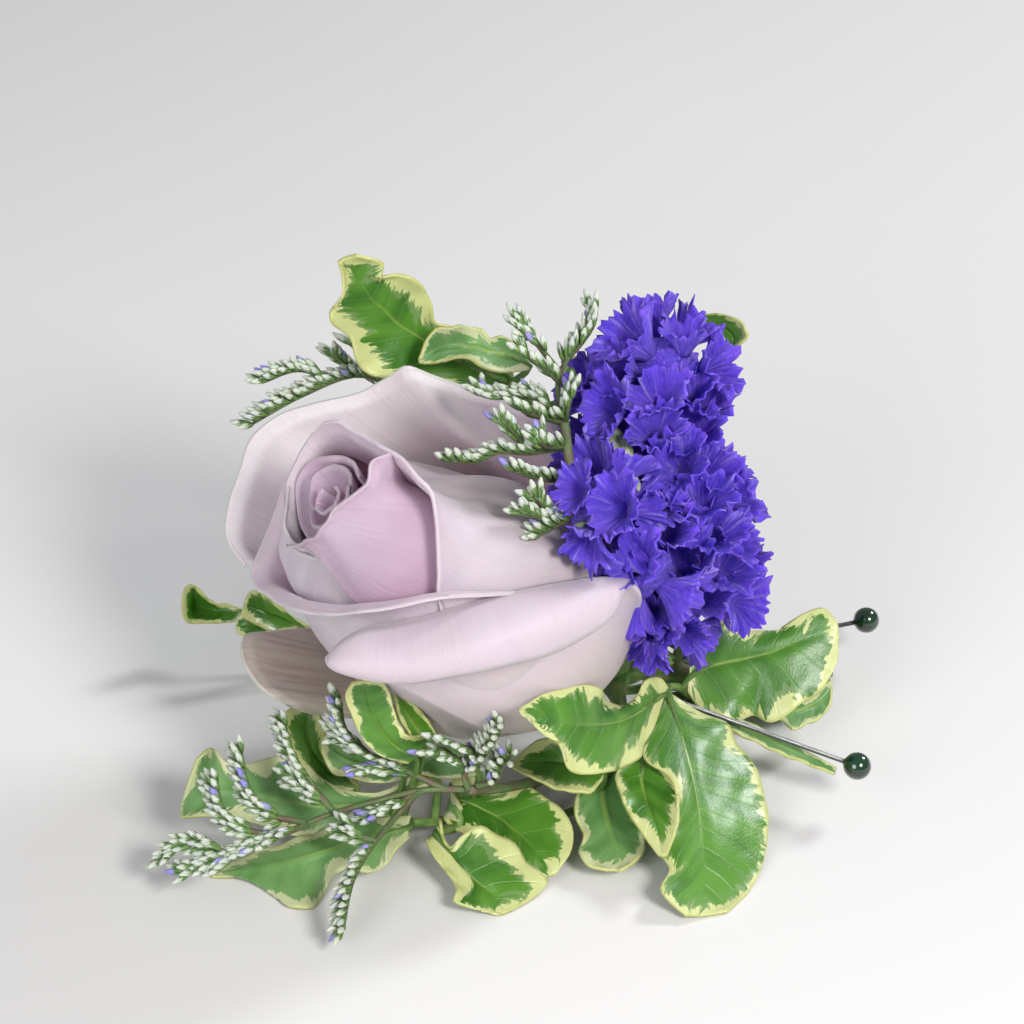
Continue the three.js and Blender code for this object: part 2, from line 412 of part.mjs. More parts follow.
const LEFT_LEAVES = [
  {
    left: [[-14.2, -41.4, 5.3], [-16.6, -41.3, 5.2], [-19.4, -41.5, 4.9], [-22.7, -41.7, 4.5],
      [-25.1, -42.2, 4.1], [-27.5, -42.8, 3.5], [-29.9, -43.4, 3], [-32.3, -43.9, 2.3],
      [-35.1, -44.7, 1.8], [-37.5, -45.6, 1.3], [-39.8, -46.8, 1], [-42, -47.9, 0.5]],
    rib: [[-14.5, -43.5, 4.9], [-16.9, -44.4, 4.8], [-19.3, -45.2, 4.6], [-21.7, -45.9, 4.3],
      [-24.1, -46.7, 3.9], [-26.4, -47.3, 3.4], [-28.8, -47.7, 2.8], [-31.2, -48.1, 2.2],
      [-34, -48.1, 1.7], [-36.9, -48.1, 1.2], [-39.7, -48.1, 0.6], [-42.4, -48, 0.25]],
    right: [[-14.3, -45, 4.5], [-16, -47.2, 4.1], [-17.4, -48.6, 2.6], [-19.9, -50.3, 2.5],
      [-22.7, -50, 2.9], [-24.7, -50.2, 2], [-25.8, -52, 0.5], [-27.7, -55.5, 0.4],
      [-30.4, -55.4, 0.5], [-33.2, -52.3, 0.25], [-36.4, -49.4, 0.7], [-41.9, -48.6, 0.25]],
  },
  {
    left: [[-11, -36.4, 9.9], [-14.6, -37.4, 9.1], [-17.8, -38.8, 7.9], [-21.1, -38.9, 7.7],
      [-24.4, -37.9, 7.7], [-27.3, -36.3, 8.5], [-29.3, -35.3, 10.4], [-32.1, -35.4, 11.7],
      [-35, -35.3, 10.8], [-37.9, -35.1, 9.7], [-40.4, -35.4, 10.4], [-42.3, -35, 12.6],
      [-44.3, -36.8, 12]],
    rib: [[-10.6, -37, 9.3], [-13.8, -38, 8.3], [-17, -39.1, 7.4], [-20.3, -40, 6.5], [-23.5, -40.3, 6.3],
      [-26.7, -40.4, 6.3], [-30, -40, 6.6], [-32.8, -39.5, 6.9], [-35.7, -38.8, 7.2],
      [-38.5, -38.3, 7.3], [-41, -38, 7.3], [-43.4, -37.9, 7.2], [-46.4, -38.7, 6.8]],
    right: [[-10.6, -37.5, 8.8], [-13.4, -38.9, 7.5], [-16.6, -40.2, 6], [-19.8, -41.3, 4.8],
      [-23.1, -42.1, 3.8], [-26.7, -42.6, 3], [-29.9, -42.6, 2.7], [-32.8, -41.8, 3.1],
      [-35.7, -41.1, 3.8], [-38.9, -40.8, 4.3], [-42.1, -40.7, 4.8], [-44.5, -41, 5],
      [-46.6, -41.2, 5]],
  },
  {
    left: [[-22.8, -36.6, 6.2], [-26, -37.5, 6.9], [-29.2, -37.2, 9.2], [-30.8, -36.3, 11.1],
      [-32, -35.2, 13.3], [-32.8, -33.5, 15.5], [-31.7, -32.1, 17], [-29.7, -31.1, 17.4]],
    rib: [[-22, -36.2, 6.4], [-24.5, -35.7, 7.6], [-26.5, -35, 9.1], [-28.1, -34.1, 10.9],
      [-28.9, -33.2, 12.8], [-29.1, -32.2, 14.6], [-28.9, -31.4, 16], [-28.8, -30.9, 17.1]],
    right: [[-21.6, -35.9, 6.7], [-23.2, -35.8, 8.6], [-25.2, -35.2, 10.2], [-26.8, -35.2, 12.7],
      [-26.3, -34, 14.9], [-26.8, -32.9, 15.9], [-27.6, -31.9, 16.6], [-28.2, -31, 17.1]],
  },
  {
    left: [[-15.4, -37, 10.6], [-17.8, -36.8, 12], [-20.2, -36.7, 12.9], [-22.6, -36.6, 13.6],
      [-24.6, -36.5, 14.2], [-26.1, -36.2, 15.7]],
    rib: [[-15.4, -37.5, 10], [-17.8, -37.6, 10.8], [-20.2, -37.6, 11.3], [-22.6, -37.7, 12.1],
      [-24.6, -37.4, 13.2], [-26.6, -36.9, 15]],
    right: [[-15.4, -38, 9.3], [-17.8, -38.9, 9.4], [-20.6, -39.5, 10], [-23, -39.5, 11],
      [-25, -39.7, 11.6], [-26.6, -38.2, 14.2]],
  },
  {
    left: [[-14.3, -43.1, 16.2], [-16.7, -44, 17.3], [-19, -44.7, 19.3], [-20.8, -45, 22.4],
      [-21.9, -44.8, 25.7], [-22.6, -44.5, 28.4], [-21.6, -43.7, 30.1]],
    rib: [[-13.2, -42.4, 16.6], [-15.1, -43.2, 18.2], [-17, -43.9, 20.7], [-18.5, -44, 23.6],
      [-19.4, -43.7, 26.4], [-19.8, -43.3, 28.5], [-19.6, -42.7, 29.8]],
    right: [[-10.2, -40.4, 19.1], [-12.1, -42.2, 20.3], [-14.1, -43.8, 21], [-15.4, -43.7, 23],
      [-16.2, -43.1, 25.4], [-16.8, -42.5, 27.8], [-17.6, -42.1, 29.1]],
  },
  {
    left: [[-13.2, -41.6, 18], [-14.3, -41.6, 20], [-15.5, -41.5, 22.3], [-16, -41.2, 24.5],
      [-16.4, -40.9, 26.3], [-16.6, -40.7, 27.4]],
    rib: [[-12, -41.1, 18.1], [-13.1, -40.6, 20.2], [-14.3, -40.5, 22.6], [-15, -40.5, 24.5],
      [-15.7, -40.7, 26.1], [-16.2, -40.6, 27.4]],
    right: [[-10.4, -40.4, 18.6], [-11.2, -40.6, 20.7], [-12.3, -40.7, 22.7], [-13.8, -40.7, 24.9],
      [-15, -40.7, 26.3], [-15.7, -40.4, 27.3]],
  },
];
const BACK_LEAVES = [
  {
    left: [[-4.2, 3.5, 48], [-8.8, 1.9, 50.3], [-13.3, -0.1, 52.2], [-17.4, -1.9, 53.8],
      [-20.7, -3.1, 55.3], [-22.2, -3.1, 57.6], [-22.9, -2.5, 60.6], [-25.3, -4, 63.8],
      [-25.5, -3.8, 65.3], [-24, -1.4, 66.4], [-23.7, -0.5, 69.2], [-24.3, -0.9, 72]],
    rib: [[-0.5, 5.6, 48.7], [-4.2, 4.9, 50.8], [-7.9, 4.2, 53.2], [-11.1, 3.7, 55.6], [-13.8, 3.2, 58],
      [-16.5, 2.5, 60.4], [-18.2, 2.1, 62.7], [-20, 1.6, 64.8], [-21.1, 1.5, 66.7], [-22.1, 1.2, 68.6],
      [-22.9, 0.7, 70.4], [-23.5, 0, 72.1]],
    right: [[-0, 6.4, 50.4], [-3.3, 5.7, 53.5], [-6.5, 4.8, 56.6], [-8.7, 4.2, 58.8], [-11.1, 2.9, 60.2],
      [-11.6, 2.9, 63.3], [-12.6, 2.4, 66.2], [-14.7, 1.5, 68.4], [-16.7, 1.1, 68.8],
      [-18.4, 1, 68.4], [-18.1, 0.9, 70.6], [-21.8, -0.7, 72.9]],
  },
  {
    left: [[2.4, 3.1, 54], [0.7, 3.2, 56.6], [-1.4, 2.6, 58.2], [-3.1, 2.2, 58.1], [-4.5, 3.2, 58.9],
      [-6.9, 2.4, 60.1], [-8.7, 1.1, 60.4], [-10.7, 0.3, 60.7], [-12.2, -0.9, 59.5],
      [-13.1, -2.5, 57.4]],
    rib: [[2.6, 2.6, 53.3], [0.4, 2.4, 54.8], [-1.6, 1.8, 55.7], [-3.5, 1.5, 56.2], [-5.1, 1.8, 56.6],
      [-6.9, 1.7, 56.9], [-8.7, 0.9, 57.4], [-10.3, -0.1, 57.6], [-11.8, -1.4, 57.5],
      [-13.3, -2.8, 57.1]],
    right: [[2.3, 2.1, 52.8], [-0, 0.7, 53.3], [-2.3, -0.6, 54.1], [-4.6, -1.6, 55.7], [-6.6, -1.8, 57.2],
      [-8.4, -2, 57.1], [-9.9, -2.4, 56.8], [-11.1, -2.8, 56.8], [-12.3, -3, 56.8],
      [-13.1, -3, 56.9]],
  },
  {
    left: [[10, 3.2, 48.2], [11.1, 2.8, 51.9], [11.1, 3, 53.7], [10.4, 3.4, 54.4]],
    rib: [[8.1, 4, 47.5], [8.8, 4, 50.7], [9.6, 3.6, 53], [9.9, 3.7, 54.4]],
    right: [[7, 4.5, 47.2], [6.9, 4.5, 50.4], [7.8, 4.1, 53], [9.1, 4, 54.2]],
  },
  {
    left: [[25.2, 10.6, 56.9], [28.3, 9.2, 58.2], [31, 7.5, 59], [33.1, 5.3, 58.9], [33.9, 3.9, 57.6],
      [32.7, 4, 55.7], [32, 4.3, 54.5]],
    rib: [[25.2, 10.4, 56.5], [27.7, 9.1, 56.9], [29.9, 7.7, 57.1], [31.4, 6.4, 57], [32.1, 5.4, 56.3],
      [32, 4.9, 55.2], [31.6, 4.6, 54.2]],
    right: [[25.2, 10, 55.9], [27.4, 8.1, 55.8], [29, 6.9, 55.6], [30.1, 6.1, 55.6], [30.6, 5.5, 55.2],
      [30.9, 5.1, 54.7], [31.2, 4.7, 54.2]],
  },
];
const LOW_LEAVES = [
  {
    left: [[-41.6, 4.8, 8.4], [-42.4, 3.9, 7.9], [-43.7, 3.8, 7.8], [-44.9, 3.8, 7.7], [-46.3, 3.7, 7.7],
      [-47.7, 3.5, 7.9], [-48.8, 3, 8.2], [-49.6, 2.6, 8.8], [-50, 2.7, 9.8]],
    rib: [[-41.6, 5.2, 8.9], [-42.7, 5.4, 8.7], [-44, 5.7, 8.4], [-45.3, 6.1, 8.1], [-46.7, 6.7, 8],
      [-48, 7, 8], [-48.8, 6.7, 8.4], [-49.5, 5, 9.5], [-50.2, 3.4, 10.5]],
    right: [[-41.6, 5.4, 9.1], [-42.7, 5.7, 9.3], [-43.9, 5.8, 9.7], [-45.1, 5.8, 9.7], [-46.5, 6, 10.4],
      [-47.8, 6.7, 11.6], [-48.6, 6.8, 12.5], [-49.6, 6.1, 12.8], [-50.1, 5, 12.3]],
  },
  {
    left: [[-29.2, 1.7, 6.8], [-31.8, 1.2, 7.1], [-34.3, 0.6, 7.7], [-36.7, 0, 8.7], [-38.6, 0, 9.9],
      [-40.1, 0.1, 10.7], [-41.1, 0.5, 11.3]],
    rib: [[-29.5, 1.8, 7], [-32.6, 2, 8.4], [-35.2, 2.3, 9.7], [-37.3, 2.2, 10.7], [-38.6, 2, 11.5],
      [-39.8, 1.7, 12], [-40.8, 1.3, 12]],
    right: [[-30.1, 1.8, 7.4], [-33.5, 2.4, 10], [-36.4, 3.1, 12.3], [-37.7, 2.9, 13.4],
      [-38.9, 2.6, 14.3], [-39.9, 2.4, 14], [-40.4, 1.8, 12.7]],
  },
  {
    left: [[-37.3, 1.5, 7.2], [-38.4, 0.7, 7.4], [-39.7, 0.2, 7.5], [-40.9, 0.2, 7.7], [-41.8, 0.6, 8.2]],
    rib: [[-37.1, 1.9, 7.8], [-38.2, 1, 8.9], [-39.5, 0.5, 9.3], [-40.7, 0.4, 9.2], [-41.9, 0.9, 9]],
    right: [[-37.1, 2.3, 8.4], [-37.8, 2.2, 9.6], [-39.2, 1.8, 10.2], [-40.6, 1.6, 10.3],
      [-41.4, 1.6, 9.7]],
  },
];

const RIGHT_STEM = [[26.5, -18, 10], [24, -20, 12.5], [22, -23, 14.5]];
const RIGHT_TWIGS = [[[25, -19.3, 11.5], [28, -20.5, 9.8], [30, -22.6, 9.2]],
  [[22.5, -22, 14], [20.8, -25, 12.5], [19.5, -28, 11]]];
const FRONT_TWIG = [[20.5, -18, 3.6], [13, -28, 4.8], [3, -37, 8.2], [-2, -41, 10], [-6, -44, 12]];
const FRONT_STEM = [[23, -18.5, 5], [17, -28, 3], [13, -34, 3.2], [4, -38.5, 2.2], [-8.4, -42.4, 4]];
const LEFT_STEM = [[19, -16, 3.4], [8, -26, 2.6], [-4, -35, 2], [-13, -40.5, 3.6], [-26, -39, 6],
  [-37, -37.2, 5]];
const LOW_STEM = [[18, -8, 3.4], [0, -2, 2], [-20, 1, 0.9], [-31, 1.5, 0.7]];
const BACK_STEM = [[21, -3, 12], [16, 4, 28], [6, 7, 42], [-5.5, 5, 50]];
const BACK_TWIGS = [[[10, 6, 37], [16, 7, 45], [20, 5, 52]]];

function leafySprig(turn, points, leaves, twigs = []) {
  const line = new THREE.CatmullRomCurve3(sprigLine(turn, points));
  const twigLines = twigs.map((twig) => new THREE.CatmullRomCurve3(twig.map(vec)));
  const blades = leaves.flatMap((leaf) => {
    const base = vec(leaf.rib[0]);
    const tip = vec(leaf.rib[leaf.rib.length - 1]);
    const spots = [line, ...twigLines].flatMap((curve) => curve.getPoints(60).slice(24));
    const near = spots.reduce((best, spot) => (spot.distanceTo(base) < best.distanceTo(base) ? spot : best));
    const inner = base.clone().lerp(vec(leaf.rib[1]), 0.5);
    const bend = near.distanceTo(base) < 1.5 ? near.clone().lerp(inner, 0.5) : base;
    const size = Math.round(tip.distanceTo(base) / 3.6);
    return [
      stalk([near, bend, inner], 0.7, 4, 2),
      blade((u, v) => leafPoint(leaf, u, v), size > 4 ? 4 : 2, Math.max(4, size), LEAF),
    ];
  });
  const stems = [stalk(line.getPoints(24), SPRIG_RADIUS, 5, 16)];
  twigs.forEach((twig) => stems.push(stalk(twig, 0.7, 4, 4)));
  return join([...stems, ...blades]);
}

// Caspia: every branch is a line of points and the number of buds on its outer part
function bud(at, direction, length) {
  const ring = [0, 1, 2].map((i) => (2 * Math.PI * i) / 3);
  const corners = ring.flatMap((turn) => [0.95 * Math.cos(turn), length * 0.55, 0.95 * Math.sin(turn)]);
  const points = [0, 0, 0, ...corners, 0, length, 0];
  const index = [1, 3, 4, 3, 2, 4, 2, 1, 4, 3, 1, 0, 2, 3, 0, 1, 2, 0];
  const geometry = new THREE.BufferGeometry().setIndex(index);
  geometry.setAttribute("position", new THREE.Float32BufferAttribute(points, 3));
  geometry.applyQuaternion(new THREE.Quaternion().setFromUnitVectors(new THREE.Vector3(0, 1, 0), direction));
  return solid(geometry.translate(at.x, at.y, at.z));
}

function caspia(main, branches, seed) {
  let state = seed;
  const random = () => {
    state = (state * 16807) % 2147483647;
    return state / 2147483647;
  };
  const solids = [stalk(main, SPRIG_RADIUS, 5, 20)];
  for (const { line, buds } of branches) {
    const curve = new THREE.CatmullRomCurve3(line.map(vec));
    solids.push(stalk(line, 0.5, 3, 4));
    for (let i = 0; i < buds; i++) {
      const share = mix(0.3, 0.97, i / (buds - 1));
      const forward = curve.getTangentAt(share);
      const out = new THREE.Vector3(0, -0.53, 0.85).cross(forward).normalize();
      out.multiplyScalar(i % 2 ? 1 : -1).addScaledVector(new THREE.Vector3(0, -0.5, 0.8), random() - 0.3);
      const direction = forward.addScaledVector(out, i === buds - 1 ? 0.1 : 0.8).normalize();
      solids.push(bud(curve.getPointAt(share), direction, mix(3.4, 4.4, random())));
    }
  }
  return join(solids);
}

const STATICE_STEM = [[25, -12.5, 14], [26, -15, 21], [26, -16.5, 30]];
const STATICE_HOLE = [[25.7, -14, 18], [26, -15, 21], [26, -16.5, 30], [26, -16.6, 30.6]];
const CASPIA_TOP = sprigLine(40, [[24.5, -15.5, 13], [24, -20.5, 21], [20, -28, 34], [13.5, -31.5, 45],
  [8.5, -28.5, 53], [7, -21, 59]]);

// Statice: pleated funnels set all over a core of overlapping balls
const STATICE_CORE = [[20.5, -11, 60.5, 5], [17.5, -14, 54.5, 6.5], [17.5, -18, 47.5, 7.5],
  [22.5, -17, 41, 7.5], [26, -17, 33.5, 6.5], [21.5, -22.5, 27.5, 5], [12, -31, 49.5, 4.5],
  [17.5, -29.5, 39.5, 4.5]];

const TOP_BRANCHES = [
  { line: [[7, -21.5, 58.4], [8, -14, 63], [10.6, -8, 71]], buds: 11 },
  { line: [[7.2, -19, 60], [5, -13, 64], [1.6, -10, 69.5]], buds: 8 },
  { line: [[7.6, -24, 57], [1.5, -19, 61], [-4.8, -16, 63]], buds: 9 },
  { line: [[8.4, -27.5, 54], [-1.6, -28, 57.2], [-8.1, -32, 58.5]], buds: 10 },
  { line: [[9, -29.5, 51.8], [4.5, -33, 53.4], [1.1, -37, 54]], buds: 7 },
];

function funnel(at, direction, radius, turn) {
  const sides = 8;
  const positions = [];
  const index = [];
  for (const lift of [LEAF / 2, -LEAF / 2]) {
    positions.push(0, -1.5 + lift * 2, 0);
    for (let i = 0; i < sides; i++) {
      const angle = turn + (2 * Math.PI * i) / sides;
      const r = radius * (i % 2 ? 1 : 0.84);
      positions.push(r * Math.cos(angle), (i % 2 ? 4.2 : 2.6) + lift, r * Math.sin(angle));
    }
  }
  const low = sides + 1;
  for (let i = 0; i < sides; i++) {
    const [a, b] = [1 + i, 1 + ((i + 1) % sides)];
    index.push(0, b, a, low, low + a, low + b);
    index.push(a, b, low + b, a, low + b, low + a);
  }
  const geometry = new THREE.BufferGeometry().setIndex(index);
  geometry.setAttribute("position", new THREE.Float32BufferAttribute(positions, 3));
  geometry.applyQuaternion(new THREE.Quaternion().setFromUnitVectors(new THREE.Vector3(0, 1, 0), direction));
  return solid(geometry.translate(at.x, at.y, at.z));
}

// The room the rose takes up, with a clearance round it.
const roomShape = [[0, -4], ...BODY.map(([z, r]) => [r + 1.3, z])].map(([r, z]) => new THREE.Vector2(r, z));
roomShape.push(new THREE.Vector2(0, 60));
const sidePetals = [...WRAPPED_PETALS, ...OPEN_PETALS];
const widerPetals = sidePetals.map((petal) => {
  const last = petal.rim.length - 1;
  const rim = petal.rim.map(([turn, z, r], i) => [turn + (i === last ? 2 : i ? 0 : -2), z + 0.6, r]);
  return { ...petal, rim };
});
const roomPieces = [solid(new THREE.LatheGeometry(roomShape, 20).rotateX(Math.PI / 2))];
roomPieces.push(...petalBlades([...sidePetals, ...widerPetals], BLADE + 2 * GAP));
const roseRoom = placed(roomPieces.reduce((sum, piece) => sum.add(piece)));

function insideRose(point, margin) {
  const local = point.clone().sub(vec(ROSE_BASE));
  const height = local.dot(vec(ROSE_AXIS));
  const away = Math.sqrt(local.lengthSq() - height * height);
  return height > -2 && away < outlineAt(BODY, Math.max(0, height)) + margin;
}

function staticeBloom() {
  const balls = STATICE_CORE.map(([x, y, z, r]) =>
    solid(new THREE.IcosahedronGeometry(r * 1.1, 0).translate(x, y, z)));
  const spots = [];
  const florets = [];
  STATICE_CORE.forEach(([x, y, z, r], ball) => {
    for (let i = 0; i < 40; i++) {
      const up = 1 - (2 * (i + 0.5)) / 40;
      const turn = i * 2.399963 + ball;
      const flat = Math.sqrt(1 - up * up);
      const direction = new THREE.Vector3(flat * Math.cos(turn), flat * Math.sin(turn), up);
      const at = new THREE.Vector3(x, y, z).addScaledVector(direction, r);
      const buried = STATICE_CORE.some(([a, b, c, q], other) =>
        other !== ball && at.distanceTo(new THREE.Vector3(a, b, c)) < q + 0.5);
      const crowded = spots.some((spot) => spot.distanceTo(at) < 6.8);
      if (buried || crowded || insideRose(at, 1)) continue;
      spots.push(at);
      florets.push(funnel(at.clone().addScaledVector(direction, -0.6), direction, 5.2, turn));
    }
  });
  const stemHole = stalk(STATICE_HOLE, SPRIG_RADIUS + GAP + 0.15, 6, 8);
  const caspiaHole = stalk(CASPIA_TOP, SPRIG_RADIUS + GAP + 0.1, 5, 20);
  const branchHoles = TOP_BRANCHES.map(({ line }) => stalk(line, 1.2, 4, 4));
  const cuts = [roseRoom, stemHole, caspiaHole, ...branchHoles];
  return join([cuts.reduce((rest, piece) => rest.subtract(piece), join([...balls, ...florets]))]);
}

// Pins: a round head and a straight shaft held in it
function pin(head, towards) {
  const direction = vec(towards).sub(vec(head)).normalize();
  const at = (distance) => vec(head).addScaledVector(direction, distance);
  const shaft = stalk([at(0.9), at(PIN_LENGTH / 2), at(PIN_LENGTH)], PIN_RADIUS, 8, 2);
  const channel = stalk([at(0.6), at(PIN_LENGTH / 2), at(PIN_LENGTH + GAP)], PIN_RADIUS + GAP, 8, 2);
  const ball = solid(new THREE.SphereGeometry(PIN_HEAD_RADIUS, 12, 8).translate(...head));
  return { shaft, channel, ball: ball.subtract(channel) };
}

const pins = [pin([54.2, 4, 8], [38, -3, 8.95]), pin([49.2, -33.1, 8], [32.2, -25.2, 10])];
const BASE = vec(ROSE_BASE).addScaledVector(vec(ROSE_AXIS), -8).toArray();
const roseStem = join([placed(roseHip()), stalk([...AXIS, BASE], STEM_RADIUS, 8, 10)]);
const sleeveLine = [0.08, 0.19, 0.3, 0.41, 0.52, 0.62].map((share) => axisLine.getPointAt(share));

const bodies = {
  rose_bloom: [placed(join([roseCore(), ...petalBlades(PETALS, BLADE)])), "#cbb2cd", 0.55],
  rose_stem: [roseStem, "#5d7f35", 0.6],
  statice_bloom: [staticeBloom(), "#4a35b5", 0.75],
  statice_stem: [stalk(sprigLine(0, STATICE_STEM), SPRIG_RADIUS, 6, 20), "#7e9a55", 0.6],
  leaves_right: [leafySprig(80, RIGHT_STEM, RIGHT_LEAVES, RIGHT_TWIGS).subtract(roseRoom), "#4e7f2a", 0.4],
  leaves_front: [leafySprig(120, FRONT_STEM, FRONT_LEAVES), "#4e7f2a", 0.4],
  leaves_left: [leafySprig(200, LEFT_STEM, LEFT_LEAVES).subtract(roseRoom), "#4e7f2a", 0.4],
  leaves_low: [leafySprig(240, LOW_STEM, LOW_LEAVES), "#4e7f2a", 0.4],
  leaves_back: [leafySprig(320, BACK_STEM, BACK_LEAVES, BACK_TWIGS), "#4e7f2a", 0.4],
  stem_tape: [stalk(sleeveLine, TAPE_OUTER, 20, 6, TAPE_INNER), "#3f6b2c", 0.8],
  caspia_front: [caspia(sprigLine(160, FRONT_TWIG), [
    { line: [[-5, -43.4, 11.7], [-25.2, -48.5, 9], [-37.6, -48, 9], [-47.9, -50.6, 5]], buds: 16 },
    { line: [[-15.6, -46.4, 9.8], [-19, -55, 6.5], [-22.5, -63.6, 2.4]], buds: 12 },
    { line: [[-22, -48, 9.4], [-30, -46, 13], [-33.5, -42, 17]], buds: 11 },
    { line: [[-30, -48.5, 9], [-38, -45, 12], [-41, -43, 15]], buds: 9 },
    { line: [[-8, -44.4, 11.3], [-14, -47, 14], [-18, -47.5, 19], [-21.5, -48, 25]], buds: 12 },
    { line: [[-4, -42.6, 11.5], [-6, -47, 16], [-4, -50, 22], [-1, -51, 28]], buds: 12 },
  ], 7), "#dfe3d2", 0.6],
  caspia_top: [caspia(CASPIA_TOP, TOP_BRANCHES, 11), "#dfe3d2", 0.6],
  caspia_back: [caspia(sprigLine(280, [[20, -5, 10], [10, 3, 24], [-4, 8, 38], [-16, 6, 47]]), [
    { line: [[-15, 6, 46.4], [-22, 4, 51], [-30, 0, 50], [-38, -2, 46]], buds: 13 },
    { line: [[-10, 7, 42.8], [-20, 7, 48], [-26, 5, 54]], buds: 9 },
  ], 5), "#dfe3d2", 0.6],
  pin_1_shaft: [pins[0].shaft, "#b9bcc0", 0.3, 1],
  pin_1_head: [pins[0].ball, "#12400f", 0.2],
  pin_2_shaft: [pins[1].shaft, "#b9bcc0", 0.3, 1],
  pin_2_head: [pins[1].ball, "#12400f", 0.2],
};
const channels = pins.map(({ channel }) => channel);
const boutonniere = new THREE.Group();
for (const [name, [body, ...finish]] of Object.entries(bodies)) {
  const cut = name.startsWith("pin") ? body : body.subtract(channels[0]).subtract(channels[1]);
  const trimmed = join([cut.trimByPlane([0, 0, 1], 0)]).simplify(DETAIL);
  boutonniere.add(meshOf(name, join([trimmed]), ...finish));
}
const middle = new THREE.Box3().setFromObject(boutonniere).getCenter(new THREE.Vector3());
boutonniere.position.set(-middle.x, -middle.y, 0);

export default boutonniere;
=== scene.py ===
import math
import random

import bmesh
import bpy
from mathutils import Matrix, Vector, noise


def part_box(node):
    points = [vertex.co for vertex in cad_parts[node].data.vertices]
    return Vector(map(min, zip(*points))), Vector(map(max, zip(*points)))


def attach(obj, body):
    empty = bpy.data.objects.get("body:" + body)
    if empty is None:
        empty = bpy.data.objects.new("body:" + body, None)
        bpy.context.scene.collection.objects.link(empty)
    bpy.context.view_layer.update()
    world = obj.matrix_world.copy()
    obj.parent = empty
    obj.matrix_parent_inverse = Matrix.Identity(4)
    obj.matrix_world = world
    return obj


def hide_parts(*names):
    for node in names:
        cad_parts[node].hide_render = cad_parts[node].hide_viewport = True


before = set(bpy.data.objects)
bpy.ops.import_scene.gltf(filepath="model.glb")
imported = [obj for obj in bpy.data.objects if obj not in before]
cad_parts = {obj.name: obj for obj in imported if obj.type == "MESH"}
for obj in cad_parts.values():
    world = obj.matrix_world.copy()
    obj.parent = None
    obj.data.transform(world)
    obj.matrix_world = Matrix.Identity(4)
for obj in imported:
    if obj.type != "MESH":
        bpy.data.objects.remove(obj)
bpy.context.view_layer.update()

# Everything is drawn in millimetres. PLACE makes metres of them and brings the head of the first pin
# to where its solid is.
UP = Vector((0, 0, 1))
PIN_HEADS = [Vector((54.2, 4, 8)), Vector((49.2, -33.1, 8))]
PIN_AIMS = [Vector((38, -3, 8.95)), Vector((32.2, -25.2, 10))]
head_low, head_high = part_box("pin_1_head")
PLACE = Matrix.Translation((Vector(head_low) + Vector(head_high)) / 2 - PIN_HEADS[0] / 1000)
PLACE = PLACE @ Matrix.Scale(0.001, 4)


# Finishes

def start_finish(name, **values):
    """A material whose even values are set on the shader itself."""
    finish = bpy.data.materials.new(name)
    finish.use_nodes = True
    tree = finish.node_tree
    surface = tree.nodes["Principled BSDF"]
    for socket, value in values.items():
        surface.inputs[socket.replace("_", " ")].default_value = value
    return finish, tree, surface


def add(tree, kind, inputs, **settings):
    """A new node, with its inputs set to numbers or joined to other nodes."""
    made = tree.nodes.new("ShaderNode" + kind)
    for name, value in settings.items():
        setattr(made, name, value)
    for name, value in inputs.items():
        if isinstance(value, bpy.types.NodeSocket):
            tree.links.new(value, made.inputs[name])
        else:
            made.inputs[name].default_value = value
    return made


def math_of(tree, operation, first, second=0.0):
    return add(tree, "Math", {0: first, 1: second}, operation=operation).outputs[0]


def plus(tree, first, second):
    return math_of(tree, "ADD", first, second)


def less(tree, first, second):
    return math_of(tree, "SUBTRACT", first, second)


def times(tree, first, second):
    return math_of(tree, "MULTIPLY", first, second)


def spread_out(tree, value, low, high, to_low=0.0, to_high=1.0):
    """Turns values between low and high into values between to_low and to_high, eased."""
    inputs = {"Value": value, "From Min": low, "From Max": high, "To Min": to_low, "To Max": to_high}
    return add(tree, "MapRange", inputs, interpolation_type="SMOOTHSTEP").outputs[0]


def tint(tree, share, first, second):
    return add(tree, "Mix", {0: share, 6: first, 7: second}, data_type="RGBA").outputs[2]


def grain(tree, vector, scale, detail=3.0, rough=0.55):
    """Uneven noise, of one scale or, with three numbers, of another one along each axis."""
    if isinstance(scale, tuple):
        vector = add(tree, "Mapping", {"Vector": vector, "Scale": scale}).outputs[0]
        scale = 1.0
    inputs = {"Vector": vector, "Scale": scale, "Detail": detail, "Roughness": rough}
    return add(tree, "TexNoise", inputs).outputs["Fac"]


def marks(tree, *names):
    """What marks_of wrote on a piece: sheet is a place, rise and inset are single numbers."""
    nodes = [add(tree, "Attribute", {}, attribute_name=name) for name in names]
    return [node.outputs["Vector" if node.attribute_name == "sheet" else "Fac"] for node in nodes]


def relief(tree, surface, height, distance, strength):
    inputs = {"Height": height, "Distance": distance, "Strength": strength}
    tree.links.new(add(tree, "Bump", inputs).outputs[0], surface.inputs["Normal"])


def shade(tree, surface, colour, roughness=None):
    tree.links.new(colour, surface.inputs["Base Color"])
    if roughness is not None:
        tree.links.new(roughness, surface.inputs["Roughness"])


